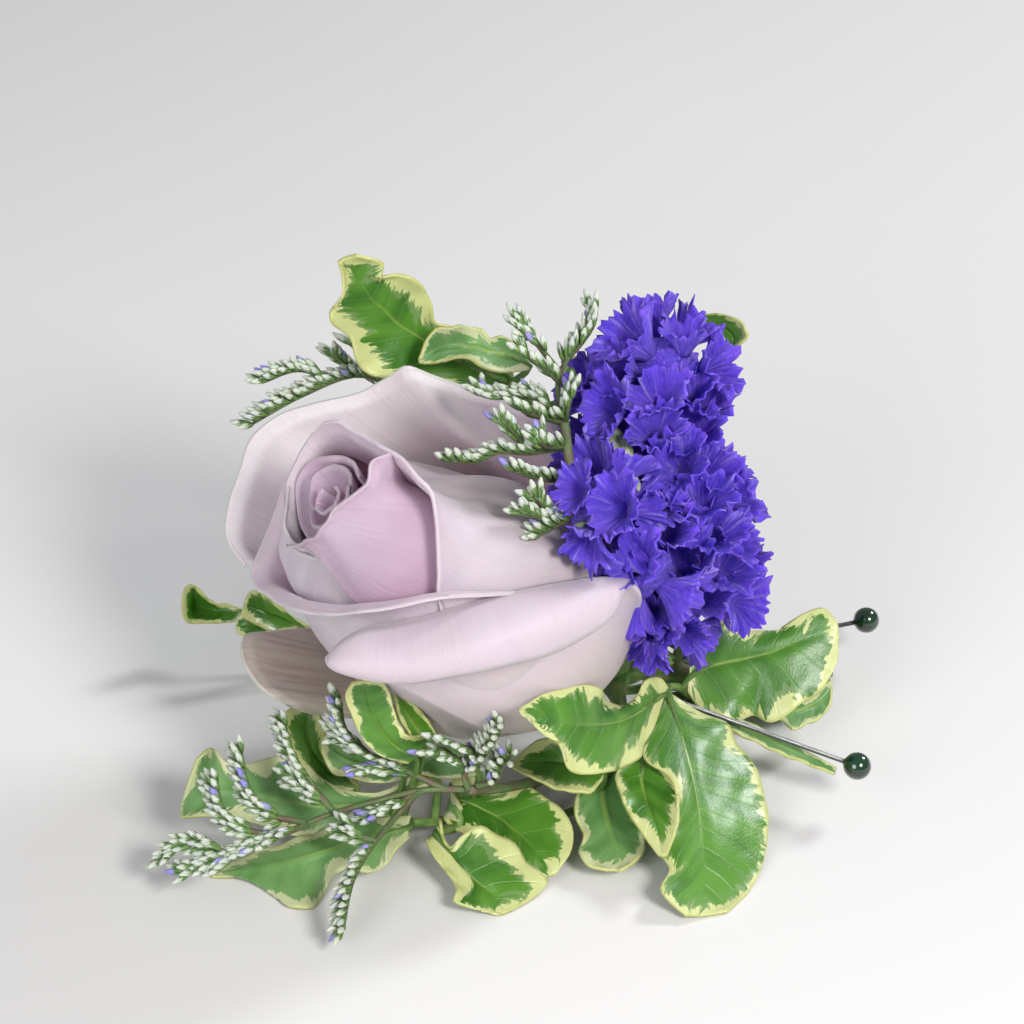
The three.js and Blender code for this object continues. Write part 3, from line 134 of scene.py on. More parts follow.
def petal_finish(name, root, body, rim, vein, depth):
    """Velvety rose petal: fine veins that fan out from its foot, and a paler rim."""
    finish, tree, surface = start_finish(name, Subsurface_Weight=0.3, Subsurface_Scale=0.004,
                                         Subsurface_Radius=(1, 0.55, 0.75), Sheen_Weight=0.25,
                                         Sheen_Roughness=0.4, Specular_IOR_Level=0.3)
    place, rise, inset = marks(tree, "sheet", "rise", "inset")
    veins = grain(tree, place, (1.6, 0.07, 3.7), 4, 0.6)
    fine = grain(tree, place, (6, 0.5, 5.1), 3, 0.6)
    cloud = grain(tree, place, (0.12, 0.09, 2.3), 3)
    colour = tint(tree, spread_out(tree, rise, 0.15, 0.75), root, body)
    colour = tint(tree, spread_out(tree, cloud, 0.35, 0.7, 0, 0.35), colour, root)
    colour = tint(tree, spread_out(tree, veins, 0.4, 0.66, 0, depth), colour, vein)
    colour = tint(tree, spread_out(tree, inset, 0.7, 0.05, 0, 0.55), colour, rim)
    shade(tree, surface, colour, spread_out(tree, fine, 0.3, 0.7, 0.42, 0.58))
    relief(tree, surface, plus(tree, times(tree, veins, 0.7), times(tree, fine, 0.3)), 0.00035, 0.5)
    return finish


def leaf_finish(name, green, light, cream, gloss):
    """Variegated leaf: a cream margin of uneven width, ragged where it meets the green."""
    finish, tree, surface = start_finish(name, Subsurface_Weight=0.12, Subsurface_Scale=0.002,
                                         Subsurface_Radius=(0.6, 1, 0.2), Specular_IOR_Level=0.5,
                                         Coat_Weight=0.2, Coat_Roughness=0.22)
    place, rise, inset = marks(tree, "sheet", "rise", "inset")
    across, along, number = add(tree, "SeparateXYZ", {0: place}).outputs
    away = math_of(tree, "ABSOLUTE", across)
    vein = less(tree, along, times(tree, away, 0.8))
    side = times(tree, math_of(tree, "SIGN", across), 7)
    edge = add(tree, "CombineXYZ", {0: along, 1: side, 2: number}).outputs[0]
    lane = add(tree, "CombineXYZ", {0: vein, 1: times(tree, across, 0.3), 2: number}).outputs[0]
    broad = spread_out(tree, grain(tree, edge, 0.16, 1), 0.36, 0.64, 0.3, 2.5)
    ragged = spread_out(tree, grain(tree, lane, 0.75, 5, 0.7), 0.3, 0.7, -0.9, 1.3)
    past = less(tree, inset, plus(tree, broad, ragged))
    leaf = tint(tree, spread_out(tree, grain(tree, lane, 0.2, 2), 0.35, 0.65), green, light)
    fibres = grain(tree, lane, 1.6, 4, 0.6)
    leaf = tint(tree, spread_out(tree, fibres, 0.5, 0.8, 0, 0.35), leaf, light)
    wave = math_of(tree, "PINGPONG", times(tree, vein, 0.33), 0.5)
    ribs = times(tree, spread_out(tree, wave, 0.06, 0.0), 0.22)
    leaf = tint(tree, ribs, leaf, (0.2, 0.34, 0.1, 1))
    grey = plus(tree, past, spread_out(tree, grain(tree, lane, 0.4, 3), 0.3, 0.7, 0.8, -1.4))
    leaf = tint(tree, spread_out(tree, grey, 0.5, 0.2, 0, 0.6), leaf, (0.2, 0.3, 0.12, 1))
    leaf = tint(tree, spread_out(tree, past, 0.1, -0.1), leaf, cream)
    leaf = tint(tree, spread_out(tree, inset, 0.3, 0.0, 0, 0.5), leaf, (0.5, 0.5, 0.14, 1))
    midrib = times(tree, spread_out(tree, away, 0.38, 0.1), spread_out(tree, rise, 0.85, 0.15))
    leaf = tint(tree, times(tree, midrib, 0.7), leaf, (0.3, 0.42, 0.08, 1))
    pores = grain(tree, place, 3.5, 3)
    dents = less(tree, times(tree, pores, 0.35), ribs)
    shade(tree, surface, leaf, spread_out(tree, pores, 0.3, 0.7, gloss, gloss + 0.12))
    relief(tree, surface, less(tree, dents, times(tree, midrib, 0.5)), 0.0003, 0.6)
    return finish


def statice_finish():
    """Papery crinkled statice: violet with pale streaks down each pleat and a brown eye."""
    finish, tree, surface = start_finish("statice_paper", Subsurface_Weight=0.15,
                                         Subsurface_Scale=0.002, Subsurface_Radius=(0.5, 0.3, 1),
                                         Sheen_Weight=0.1, Specular_IOR_Level=0.25)
    place, rise = marks(tree, "sheet", "rise")
    streaks = grain(tree, place, (1.8, 0.16, 3.3), 5, 0.7)
    cloud = grain(tree, place, (0.4, 0.3, 1.9), 2)
    crumple = grain(tree, place, (1.2, 1.2, 2.1), 5, 0.6)
    colour = tint(tree, spread_out(tree, cloud, 0.35, 0.65), (0.1, 0.048, 0.66, 1), (0.17, 0.08, 0.8, 1))
    colour = tint(tree, spread_out(tree, streaks, 0.5, 0.74, 0, 0.85), colour, (0.42, 0.34, 0.92, 1))
    colour = tint(tree, spread_out(tree, streaks, 0.45, 0.3, 0, 0.8), colour, (0.045, 0.018, 0.36, 1))
    pale = times(tree, spread_out(tree, rise, 0.34, 0.12), spread_out(tree, streaks, 0.4, 0.6))
    colour = tint(tree, pale, colour, (0.5, 0.45, 0.72, 1))
    colour = tint(tree, spread_out(tree, rise, 0.1, 0.02), colour, (0.24, 0.15, 0.05, 1))
    shade(tree, surface, colour, spread_out(tree, crumple, 0.3, 0.7, 0.5, 0.75))
    relief(tree, surface, plus(tree, times(tree, streaks, 1.6), crumple), 0.0006, 0.9)
    return finish


def bud_finish():
    """Caspia bud: a green calyx with a pointed pale tip, a few of them lilac."""
    finish, tree, surface = start_finish("caspia_bud", Roughness=0.6, Subsurface_Weight=0.1,
                                         Subsurface_Scale=0.001, Specular_IOR_Level=0.3)
    place, rise = marks(tree, "sheet", "rise")
    number = add(tree, "SeparateXYZ", {0: place}).outputs[2]
    chance = add(tree, "TexWhiteNoise", {"W": number}, noise_dimensions="1D").outputs["Value"]
    speck = grain(tree, place, (3, 1, 1), 3)
    tip = tint(tree, spread_out(tree, chance, 0.88, 0.9), (0.6, 0.65, 0.54, 1), (0.26, 0.22, 0.66, 1))
    tip = tint(tree, spread_out(tree, speck, 0.55, 0.72, 0, 0.7), tip, (0.3, 0.32, 0.4, 1))
    green = tint(tree, spread_out(tree, speck, 0.35, 0.65), (0.06, 0.14, 0.035, 1), (0.2, 0.32, 0.1, 1))
    share = plus(tree, rise, spread_out(tree, speck, 0.3, 0.7, -0.12, 0.12))
    shade(tree, surface, tint(tree, spread_out(tree, share, 0.48, 0.7), green, tip))
    relief(tree, surface, speck, 0.0002, 0.6)
    return finish


def stem_finish(name, green, warm, roughness=0.55):
    """Fresh stem: ridges and flecks that run along it."""
    finish, tree, surface = start_finish(name, Roughness=roughness, Specular_IOR_Level=0.4)
    (place,) = marks(tree, "sheet")
    fibres = grain(tree, place, (4, 0.3, 1), 4, 0.6)
    flecks = grain(tree, place, (0.8, 0.5, 1), 3)
    colour = tint(tree, spread_out(tree, flecks, 0.4, 0.65), green, warm)
    colour = tint(tree, spread_out(tree, fibres, 0.5, 0.7, 0, 0.4), colour, (0.35, 0.45, 0.15, 1))
    shade(tree, surface, colour)
    relief(tree, surface, fibres, 0.0002, 0.6)
    return finish


def tape_finish():
    """Waxed crepe tape: fine creases across it and worn lighter edges."""
    finish, tree, surface = start_finish("crepe_tape", Specular_IOR_Level=0.3, Sheen_Weight=0.1)
    place, inset = marks(tree, "sheet", "inset")
    creases = grain(tree, place, (3.2, 0.5, 1), 5, 0.65)
    stains = spread_out(tree, grain(tree, place, (0.3, 0.3, 1), 3), 0.35, 0.65)
    colour = tint(tree, stains, (0.035, 0.1, 0.02, 1), (0.07, 0.16, 0.035, 1))
    colour = tint(tree, spread_out(tree, creases, 0.55, 0.75, 0, 0.5), colour, (0.14, 0.26, 0.08, 1))
    colour = tint(tree, spread_out(tree, inset, 0.5, 0.0, 0, 0.6), colour, (0.18, 0.3, 0.1, 1))
    shade(tree, surface, colour, spread_out(tree, creases, 0.3, 0.7, 0.6, 0.85))
    relief(tree, surface, creases, 0.0003, 0.9)
    return finish


def steel_finish():
    """Drawn steel wire with faint scratches along it, its colour painted dark as a painted reflection of dark
    surroundings.
    """
    finish, tree, surface = start_finish("pin_steel", Metallic=1.0)
    (place,) = marks(tree, "sheet")
    lines = grain(tree, place, (9, 0.3, 1), 3)
    # painted reflection: the steel colours are kept dark to stand for the dark surroundings that a bright
    # wire would mirror
    colour = tint(tree, lines, (0.1, 0.105, 0.105, 1), (0.19, 0.195, 0.195, 1))
    shade(tree, surface, colour, spread_out(tree, lines, 0.3, 0.7, 0.28, 0.45))
    relief(tree, surface, lines, 0.00005, 0.4)
    return finish


def bead_finish():
    """Dark green glossy pin head with faint swirls of colour under its surface."""
    finish, tree, surface = start_finish("pin_head_green", Roughness=0.12, Coat_Weight=1.0,
                                         Coat_Roughness=0.04, Specular_IOR_Level=0.6)
    place = add(tree, "TexCoord", {}).outputs["Object"]
    swirl = spread_out(tree, grain(tree, place, 420, 4), 0.35, 0.65)
    shade(tree, surface, tint(tree, swirl, (0.001, 0.012, 0.004, 1), (0.003, 0.04, 0.01, 1)))
    relief(tree, surface, grain(tree, place, 900, 2), 0.00003, 0.3)
    return finish


HEART = petal_finish("rose_heart", (0.46, 0.28, 0.38, 1), (0.57, 0.43, 0.53, 1), (0.6, 0.47, 0.53, 1),
                     (0.45, 0.2, 0.36, 1), 0.14)
PETAL = petal_finish("rose_petal", (0.57, 0.46, 0.46, 1), (0.6, 0.5, 0.57, 1), (0.67, 0.58, 0.61, 1),
                     (0.5, 0.34, 0.44, 1), 0.1)
BACK = petal_finish("rose_back_petal", (0.66, 0.57, 0.6, 1), (0.7, 0.63, 0.65, 1), (0.73, 0.67, 0.62, 1),
                    (0.5, 0.4, 0.44, 1), 0.1)
OUTER = petal_finish("rose_guard_petal", (0.5, 0.48, 0.34, 1), (0.58, 0.53, 0.45, 1),
                     (0.68, 0.63, 0.54, 1), (0.28, 0.22, 0.15, 1), 0.45)
LEAF_TOP = leaf_finish("leaf_upper", (0.036, 0.145, 0.009, 1), (0.09, 0.25, 0.02, 1),
                       (0.56, 0.6, 0.25, 1), 0.28)
LEAF_UNDER = leaf_finish("leaf_under", (0.09, 0.23, 0.055, 1), (0.16, 0.33, 0.1, 1),
                         (0.52, 0.56, 0.3, 1), 0.45)
STATICE = statice_finish()
BUD = bud_finish()
STEM = stem_finish("green_stem", (0.1, 0.22, 0.05, 1), (0.2, 0.3, 0.08, 1))
PALE_STEM = stem_finish("statice_wing", (0.3, 0.4, 0.18, 1), (0.56, 0.6, 0.42, 1))
TWIG = stem_finish("caspia_twig", (0.1, 0.18, 0.06, 1), (0.16, 0.11, 0.08, 1))
ROSE_GREEN = stem_finish("rose_stem", (0.06, 0.17, 0.035, 1), (0.16, 0.2, 0.06, 1), 0.45)
TAPE = tape_finish()
STEEL = steel_finish()
BEAD = bead_finish()


# Shapes

SHEET_APART = 17.3  # between the patterns of two sheets


def smoothstep(value, low, high):
    t = max(0.0, min(1.0, (value - low) / (high - low)))
    return t * t * (3 - 2 * t)


def mix(first, second, share):
    return first + (second - first) * share


def vectors(points):
    return [Vector(point) for point in points]


def those(items, kind):
    return [item for item in items if isinstance(item, kind)]


def turn_between(before, after):
    """The turn that takes one direction to another."""
    return before.rotation_difference(after).to_matrix().to_4x4()


def curve(start, end, leave, reach, t):
    """A curve's value at t, from its two ends and how fast it leaves one and reaches the other."""
    bend = -3 * start + 3 * end - 2 * leave - reach
    return start + leave * t + bend * t ** 2 + (2 * start - 2 * end + leave + reach) * t ** 3


def smooth_at(points, share):
    """The place at a share of the way along the smooth line through the points."""
    last = len(points) - 1
    i = max(0, min(int(share * last), last - 1))
    near, far = points[i], points[i + 1]
    before = points[i - 1] if i else 2 * near - far
    after = points[i + 2] if i < last - 1 else 2 * far - near
    a = max(1e-3, (near - before).length) ** 0.5
    b = max(1e-3, (far - near).length) ** 0.5
    c = max(1e-3, (after - far).length) ** 0.5
    leave = ((near - before) / a - (far - before) / (a + b) + (far - near) / b) * b
    reach = ((far - near) / b - (after - near) / (b + c) + (after - far) / c) * b
    return curve(near, far, leave, reach, share * last - i)


def even_line(points, count):
    """Count + 1 evenly spaced places along the smooth line through the points."""
    points = vectors(points)
    parts = 240
    fine = [smooth_at(points, i / parts) for i in range(parts + 1)]
    lengths = [0.0]
    for near, far in zip(fine, fine[1:]):
        lengths.append(lengths[-1] + (far - near).length)
    places = []
    i = 0
    for step in range(count + 1):
        goal = lengths[-1] * step / count
        while i < parts - 1 and lengths[i + 1] < goal:
            i += 1
        share = (goal - lengths[i]) / max(1e-9, lengths[i + 1] - lengths[i])
        places.append(fine[i].lerp(fine[i + 1], share))
    return places


def marks_of(bm):
    """The layers that the finishes read: place on the sheet, share of its length, way to its rim."""
    places, numbers = bm.verts.layers.float_vector, bm.verts.layers.float
    for layers, name in ((places, "sheet"), (numbers, "rise"), (numbers, "inset")):
        if layers.get(name) is None:
            layers.new(name)
    return places["sheet"], numbers["rise"], numbers["inset"]


def blade(bm, point, across, along, half, length, number, inset_of=None):
    """Adds a sheet point(u, v), with u from -1 to 1 across it and v from 0 to 1 along it."""
    sheet, rise, inset = marks_of(bm)
    for vert in bmesh.ops.create_grid(bm, x_segments=across, y_segments=along, size=1)["verts"]:
        u, v = vert.co.x, (vert.co.y + 1) / 2
        vert[sheet] = (u * half, v * length, number * SHEET_APART)
        vert[rise] = v
        vert[inset] = inset_of(u, v) if inset_of else min((1 - abs(u)) * half, (1 - v) * length)
        vert.co = point(u, v)


def stalk(bm, points, radius, tip, sides, rings, number=0, flat=1.0):
    """Adds a closed stem that runs along the points, from one radius to another."""
    sheet, rise, _ = marks_of(bm)
    line = even_line(points, rings)
    heading = (line[1] - line[0]).normalized()
    ends = bmesh.ops.create_circle(bm, cap_ends=True, segments=sides, radius=radius)["verts"]
    face = ends[0].link_faces[0]
    for k, vert in enumerate(face.verts):
        vert[sheet] = (k * math.tau * radius / sides, 0, number)
        vert.co.y *= flat
    bmesh.ops.transform(bm, matrix=Matrix.Translation(line[0]) @ turn_between(UP, heading), verts=ends)
    length = 0.0
    for i in range(1, rings + 1):
        made = bmesh.ops.extrude_face_region(bm, geom=[face])["geom"]
        verts = those(made, bmesh.types.BMVert)
        face = those(made, bmesh.types.BMFace)[0]
        after = (line[min(i + 1, rings)] - line[i - 1]).normalized()
        size = mix(radius, tip, i / rings) / mix(radius, tip, (i - 1) / rings)
        move = Matrix.Translation(line[i]) @ turn_between(heading, after) @ Matrix.Scale(size, 4)
        bmesh.ops.transform(bm, matrix=move @ Matrix.Translation(-line[i - 1]), verts=verts)
        heading = after
        length += (line[i] - line[i - 1]).length
        for vert in verts:
            vert[sheet] = (vert[sheet][0], length, number)
            vert[rise] = i / rings


def turned_shape(bm, profile, steps):
    """Adds a closed shape of revolution round Z through the points [distance, height]."""
    sheet, rise, inset = marks_of(bm)
    verts = [bm.verts.new((r, 0, z)) for r, z in profile]
    edges = [bm.edges.new(pair) for pair in zip(verts, verts[1:])]
    bmesh.ops.spin(bm, geom=verts + edges, cent=(0, 0, 0), axis=(0, 0, 1), angle=math.tau,
                   steps=steps, use_merge=True)
    bmesh.ops.remove_doubles(bm, verts=bm.verts, dist=0.001)
    bmesh.ops.recalc_face_normals(bm, faces=bm.faces)
    for vert in bm.verts:
        vert[sheet] = (math.atan2(vert.co.y, vert.co.x) * 6, vert.co.z, 0)
        vert[rise] = 0.5
        vert[inset] = 9  # far from any rim


def in_scene(name, data):
    made = bpy.data.objects.new(name, data)
    bpy.context.scene.collection.objects.link(made)
    return made


def meshed(name, bm, finishes):
    """An object in the scene, of the shapes drawn so far."""
    mesh = bpy.data.meshes.new(name)
    bm.to_mesh(mesh)
    bm.free()
    for finish in finishes:
        mesh.materials.append(finish)
    return in_scene(name, mesh)


def finished(name, bm, finishes, nodes, thickness=None):
    """Makes a piece of the shapes drawn so far, in its place, with its finishes."""
    bmesh.ops.transform(bm, matrix=PLACE, verts=bm.verts)
    piece = meshed(name, bm, finishes)
    for polygon in piece.data.polygons:
        polygon.use_smooth = True
    if thickness:
        wall = piece.modifiers.new("thickness", "SOLIDIFY")
        wall.thickness = thickness / 1000
        wall.offset = 0
        wall.material_offset = len(finishes) - 1
    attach(piece, "root")
    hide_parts(*nodes)


# Rose

ROSE_BASE = Vector((13, -15.8, 17))
ROSE_FRONT = Vector((0.525, -0.832, 0.178))
ROSE_SIDE = Vector((0.486, 0.465, 0.741))
ROSE_AXIS = Vector((-0.7, -0.302, 0.649))
ROSE_PLACE = Matrix((ROSE_FRONT, ROSE_SIDE, ROSE_AXIS)).transposed().to_4x4()
ROSE_PLACE.translation = ROSE_BASE

# Outlines of the closed body, as height and distance from the axis
BODY = [(0, 4), (4, 9.5), (8, 14), (13, 18), (20, 21.3), (28, 22.5), (36, 21.5), (44, 18.5), (52, 14),
        (60, 9)]
UPPER_BODY = [(0, 4), (6, 8.4), (14, 12), (19, 14.3), (23, 16), (28, 15.4), (32, 14), (37, 11.5), (41, 9),
              (48, 8.5), (60, 8.5)]

# A petal's rim is a line of degrees round the bloom's axis, height and distance from the axis. The
# petal starts at the height "from", or else at 0, and "layer" is how far outside the body it lies, up to
# the share "shoulder" of its length. With a "foot" it stands that far from the axis instead. "curl" bends
# the rim outwards, "notch" slides the petal round so that its side lies under the next one, and an
# "edge" is the line that a rolled rim ends on.
HEART_PETALS = [
    {"from": 46, "foot": 1,
     "rim": [(150, 54.6, 1.8), (252, 54.6, 1.7), (332, 54.6, 2.2), (378, 54.6, 2.4), (434, 54.6, 2)]},
    {"from": 45, "foot": 2.4,
     "rim": [(30, 54.2, 4.4), (65, 54.5, 4.6), (107, 54.4, 4.5), (146, 54.4, 5.2), (166, 54.3, 5.4),
        (189, 54, 4.4), (217, 53.5, 3.6)]},
    {"from": 45, "foot": 2.6,
     "rim": [(215, 53.2, 4.4), (260, 53.6, 3.9), (300, 54, 3.7), (340, 54.3, 3.9), (375, 54.6, 4.2),
        (400, 54.8, 4.6)]},
    {"from": 43, "foot": 3.6,
     "rim": [(50, 54.2, 6), (75, 54.5, 5.9), (99, 54.5, 5.7), (134, 54.8, 6.4), (168, 54.3, 8.8),
        (182, 53.8, 9), (199, 53, 8.3), (220, 52, 7.6), (236, 51, 7.2)]},
    {"from": 34, "layer": -1.5, "shoulder": 0.6, "notch": 84,
     "rim": [(239, 53, 9.3), (258, 53.6, 7.4), (273, 54.5, 6.4), (314, 56, 6.2), (347, 57, 6.8),
        (363, 57.5, 8), (375, 57.5, 9.9), (383, 57.5, 11.3), (396, 58, 12.2), (402, 56.5, 12.6),
        (410, 54, 12.5)]},
]
WRAPPED_PETALS = [
    {"layer": -0.8, "curl": 0, "shoulder": 0.91,
     "rim": [(-172, 54.2, 9.9), (-150, 53.9, 9.4), (-125, 53.2, 8.8), (-112, 52.7, 8.2), (-98, 52.1, 7.6),
        (-75, 51.4, 7.4), (-55, 50.7, 8.6), (-42, 50, 9.6), (-30, 47.5, 13)]},
    {"layer": -1.2, "curl": 0.9, "shoulder": 0.78,
     "rim": [(-22, 40, 19.5), (-11, 45, 18.7), (-3, 46.5, 18.1), (9, 48.5, 17.5), (17, 50, 17.3),
        (25.6, 52, 17.1), (31, 53.5, 15.6), (41, 54.5, 13.7), (56, 55.5, 10.8), (87, 56, 9), (116, 57, 9.6),
        (155, 55.5, 9.9), (179, 54.8, 9.6), (197, 54.2, 9), (218, 53.6, 8.6), (239, 53, 8.3),
        (262, 52.3, 7.4), (290, 51.6, 6.8), (318, 50.6, 8.5), (326, 49.2, 11.5), (333, 47, 13.5)]},
    {"layer": 0.4, "curl": 1.8, "shoulder": 0.8,
     "rim": [(-178, 53.3, 12.2), (-162, 52.3, 13), (-149, 50, 17.2), (-139, 48.5, 20.9), (-120, 49.3, 16.5),
        (-98, 51.5, 14), (-76, 52.5, 13.6), (-48.5, 52.5, 15), (-32, 51.5, 17), (-11, 46.8, 20.3),
        (-1, 40, 21), (7.3, 33.5, 22), (22, 22, 24)]},
]
OPEN_PETALS = [
    {"layer": 1.2,
     "rim": [(-51.4, 51.6, 23), (-45.2, 51.7, 21.8), (-37.1, 50.2, 20.8), (-29.3, 46.7, 20),
        (-16.3, 43, 20.2), (-4.2, 39.2, 21.4), (6.5, 34.3, 22.6), (15.9, 28.2, 23.4), (21.4, 23.6, 24.2),
        (23.1, 20.7, 25.5)],
     "edge": [(-51.4, 51.6, 23), (-49.7, 50, 24), (-42.6, 46, 25.5), (-35.3, 42.9, 26.5), (-24.6, 39.6, 27.5),
        (-14.9, 35, 28), (-7.4, 30.4, 28), (0.9, 26.4, 27.5), (9.1, 23.2, 27), (23.1, 20.7, 25.5)]},
    {"layer": 1.6, "curl": 1.2,
     "rim": [(97, 24, 24), (106, 33, 24), (116.2, 36, 24), (120.8, 40.6, 24), (123, 44, 24),
        (133.1, 44.1, 24), (146, 45, 24.5), (157, 48.6, 25), (166.3, 51.5, 26), (175.9, 52.9, 26),
        (186.2, 51.7, 26), (198.8, 51.4, 26), (207, 50.3, 26), (214.7, 47.8, 24)]},
]
GUARD_PETALS = [
    {"layer": 1.4, "curl": 0.6,
     "rim": [(-148, 22, 25.5), (-141, 30, 27.5), (-136.5, 35, 28), (-131.5, 40, 28.3), (-127.5, 43.7, 28.5),
        (-119, 45, 28.5), (-111, 44.5, 28.3), (-104, 43, 28), (-102, 39, 28), (-105, 33, 27.6),
        (-110, 26, 26), (-116, 19, 24)]},
    {"layer": 1,
     "rim": [(42, 10, 18), (60, 17, 21.5), (76, 18, 22.3), (92, 17, 22.4), (106, 10, 18)]},
    {"layer": 2.2, "curl": 0.8,
     "rim": [(130, 20, 25), (150, 33, 28), (170, 36, 29.5), (190, 33, 28.5), (212, 20, 26)]},
]
for petal in HEART_PETALS + WRAPPED_PETALS + OPEN_PETALS + GUARD_PETALS:
    petal.update({key: vectors(petal[key]) for key in ("rim", "edge") if key in petal})
ROLL_AT = 0.8  # the share of a rolled petal's length at which it turns over


def outline_at(outline, height):
    """The distance from the axis at a height on a smooth outline."""
    last = len(outline) - 1
    i = next((k for k in range(1, last + 1) if outline[k][0] >= height), last) - 1
    t = max(0.0, min(1.0, (height - outline[i][0]) / (outline[i + 1][0] - outline[i][0])))
    r = [outline[max(0, min(last, k))][1] for k in (i - 1, i, i + 1, i + 2)]
    return curve(r[1], r[2], (r[2] - r[0]) / 2, (r[3] - r[1]) / 2, t)


def bell(turn, middle, width):
    """1 near the middle turn, down to 0 at width degrees from it."""
    return 1 - smoothstep(abs((turn - middle + 180) % 360 - 180), 0.35 * width, width)


def body_radius(height, turn):
    """The closed body's distance from the axis: slim above, and a little slimmer below."""
    full = outline_at(BODY, height)
    full -= 0.1 * full * bell(turn, 275, 60) * smoothstep(height, 18, 30)
    return mix(full, outline_at(UPPER_BODY, height), bell(turn, 90, 75))


def share_at(rim, turn):
    """How far along a rim a turn lies."""
    low, high = 0.0, 1.0
    for _ in range(16):
        middle = (low + high) / 2
        if smooth_at(rim, middle)[0] < turn:
            low = middle
        else:
            high = middle
    return (low + high) / 2


def petal_point(petal, number, u, v):
    """A place on a petal, whose rim curls outwards a little and ripples."""
    share = (u + 1) / 2
    rim, rolled = petal["rim"], "edge" in petal
    first, last = rim[0][0], rim[-1][0]
    start = petal.get("from", 0)
    turn_rim, height_rim, radius_rim = smooth_at(rim, share)
    rise = min(1.0, v / ROLL_AT) if rolled else 1 - (1 - v) ** 1.6
    turn = mix((first + last) / 2, turn_rim, mix(0.62, 1, smoothstep(rise, 0, 0.6)))
    if "notch" in petal:
        slide = (last - turn) / (last - first)
        turn += petal["notch"] * slide * (1 - math.exp(-5.5 * (1 - rise)))
        _, height_rim, radius_rim = smooth_at(rim, share_at(rim, turn))
    height = mix(start, height_rim, rise)
    if "foot" in petal:
        root = petal["foot"]
    else:
        body = body_radius(height, turn) + petal["layer"]
        root = mix(12 if start else 3.5, body, smoothstep(rise, 0, 0.12))
    radius = mix(root, radius_rim, smoothstep(rise, petal.get("shoulder", 0.45), 1))
    if rolled and v > ROLL_AT:
        over = (v - ROLL_AT) / (1 - ROLL_AT)
        turn_edge, height_edge, radius_edge = smooth_at(petal["edge"], share)
        swell = math.sin(math.pi * over) ** 0.8 * (1 - u ** 4)
        turn = mix(turn, turn_edge, over)
        height = mix(height, height_edge, over) + 2.2 * swell
        radius = mix(radius, radius_edge, over) + 3 * swell
    if not rolled:
        curl = petal.get("curl", 0.3) * smoothstep(rise, 0.95, 1.0) ** 1.5
        radius += curl
        height -= 0.35 * curl
    ripple = 0.15 if "foot" in petal else 0.4
    radius += ripple * noise.noise(Vector((turn / 22, v * 1.6, number * 3.7))) * smoothstep(rise, 0.3, 1)
    height += ripple * noise.noise(Vector((turn / 14, 5.5, number * 2.9))) * smoothstep(rise, 0.6, 1)
    turn = math.radians(turn)
    return ROSE_PLACE @ Vector((radius * math.cos(turn), radius * math.sin(turn), height))


def petals(name, group, first, finish, thickness):
    bm = bmesh.new()
    for number, petal in enumerate(group, first):
        rim = petal["rim"]
        span = rim[-1][0] - rim[0][0]
        half = math.radians(span / 2) * max(point[2] for point in rim)
        length = rim[1][1] - petal.get("from", 0)
        across = max(40, round(span / 2.2))
        along = 60 if "edge" in petal else 16 if "foot" in petal else 48
        blade(bm, lambda u, v: petal_point(petal, number, u, v), across, along, half, length, number)
    finished(name, bm, [finish], ["rose_bloom"], thickness)


def rose_core():
    """What fills the bloom under its petals, kept 3 mm inside them."""
    bm = bmesh.new()
    turned_shape(bm, [(0, -2), (4.5, 0), (10, 6), (16, 14), (19, 25), (18.5, 34), (15, 40.5), (9, 45),
                      (4, 47.5), (0, 48)], 40)
    for vert in bm.verts:
        turn = math.degrees(math.atan2(vert.co.y, vert.co.x))
        room = body_radius(max(0, vert.co.z), turn) - 3 * smoothstep(vert.co.z, 0, 8)
        slim = min(1, room / max(0.01, vert.co.xy.length))
        vert.co = Vector((vert.co.x * slim, vert.co.y * slim, vert.co.z))
    bmesh.ops.transform(bm, matrix=ROSE_PLACE, verts=bm.verts)
    finished("rose_core", bm, [HEART], ["rose_bloom"])


petals("rose_heart", HEART_PETALS, 1, HEART, 0.5)
petals("rose_wrapped_petals", WRAPPED_PETALS, 6, PETAL, 0.55)
petals("rose_open_petal", OPEN_PETALS[:1], 9, PETAL, 0.6)
petals("rose_back_petal", OPEN_PETALS[1:], 10, BACK, 0.6)
petals("rose_guard_petals", GUARD_PETALS, 11, OUTER, 0.6)
rose_core()


# Stems

AXIS = even_line([(47, -3, 4.6), (38, -6.5, 4.6), (33, -8.5, 4.9), (28, -10.4, 6.4), (22.5, -12.2, 9.2)],
                 100)


def slot_point(turn, i):
    """The place of a stem beside point i of the rose's stem, with turn 0 above and 90 in front."""
    forward = (AXIS[max(0, i - 1)] - AXIS[min(100, i + 1)]).normalized()
    up = (UP - forward * forward.z).normalized()
    side = -up.cross(forward)
    ring = 2.95 + 2.2 * smoothstep(i / 100, 0.68, 0.98)
    turn = math.radians(turn)
    return AXIS[i] + up * ring * math.cos(turn) + side * ring * math.sin(turn)


def sprig_line(turn, points):
    """The line of a sprig's stem, beside the rose's stem first and then through the points."""
    return [slot_point(turn, i) for i in (0, 10, 20, 30, 40, 50, 60, 70, 84)] + vectors(points)


def sepal_point(turned, u, v):
    half = 2.4 * (1 - v ** 1.6) + 0.2 + 0.25 * math.sin(9 * v)
    height = -3 + 0.6 * v - 3 * v * v - 0.6 * u * u
    return ROSE_PLACE @ turned @ Vector((3.6 + 6 * v, half * u, height))


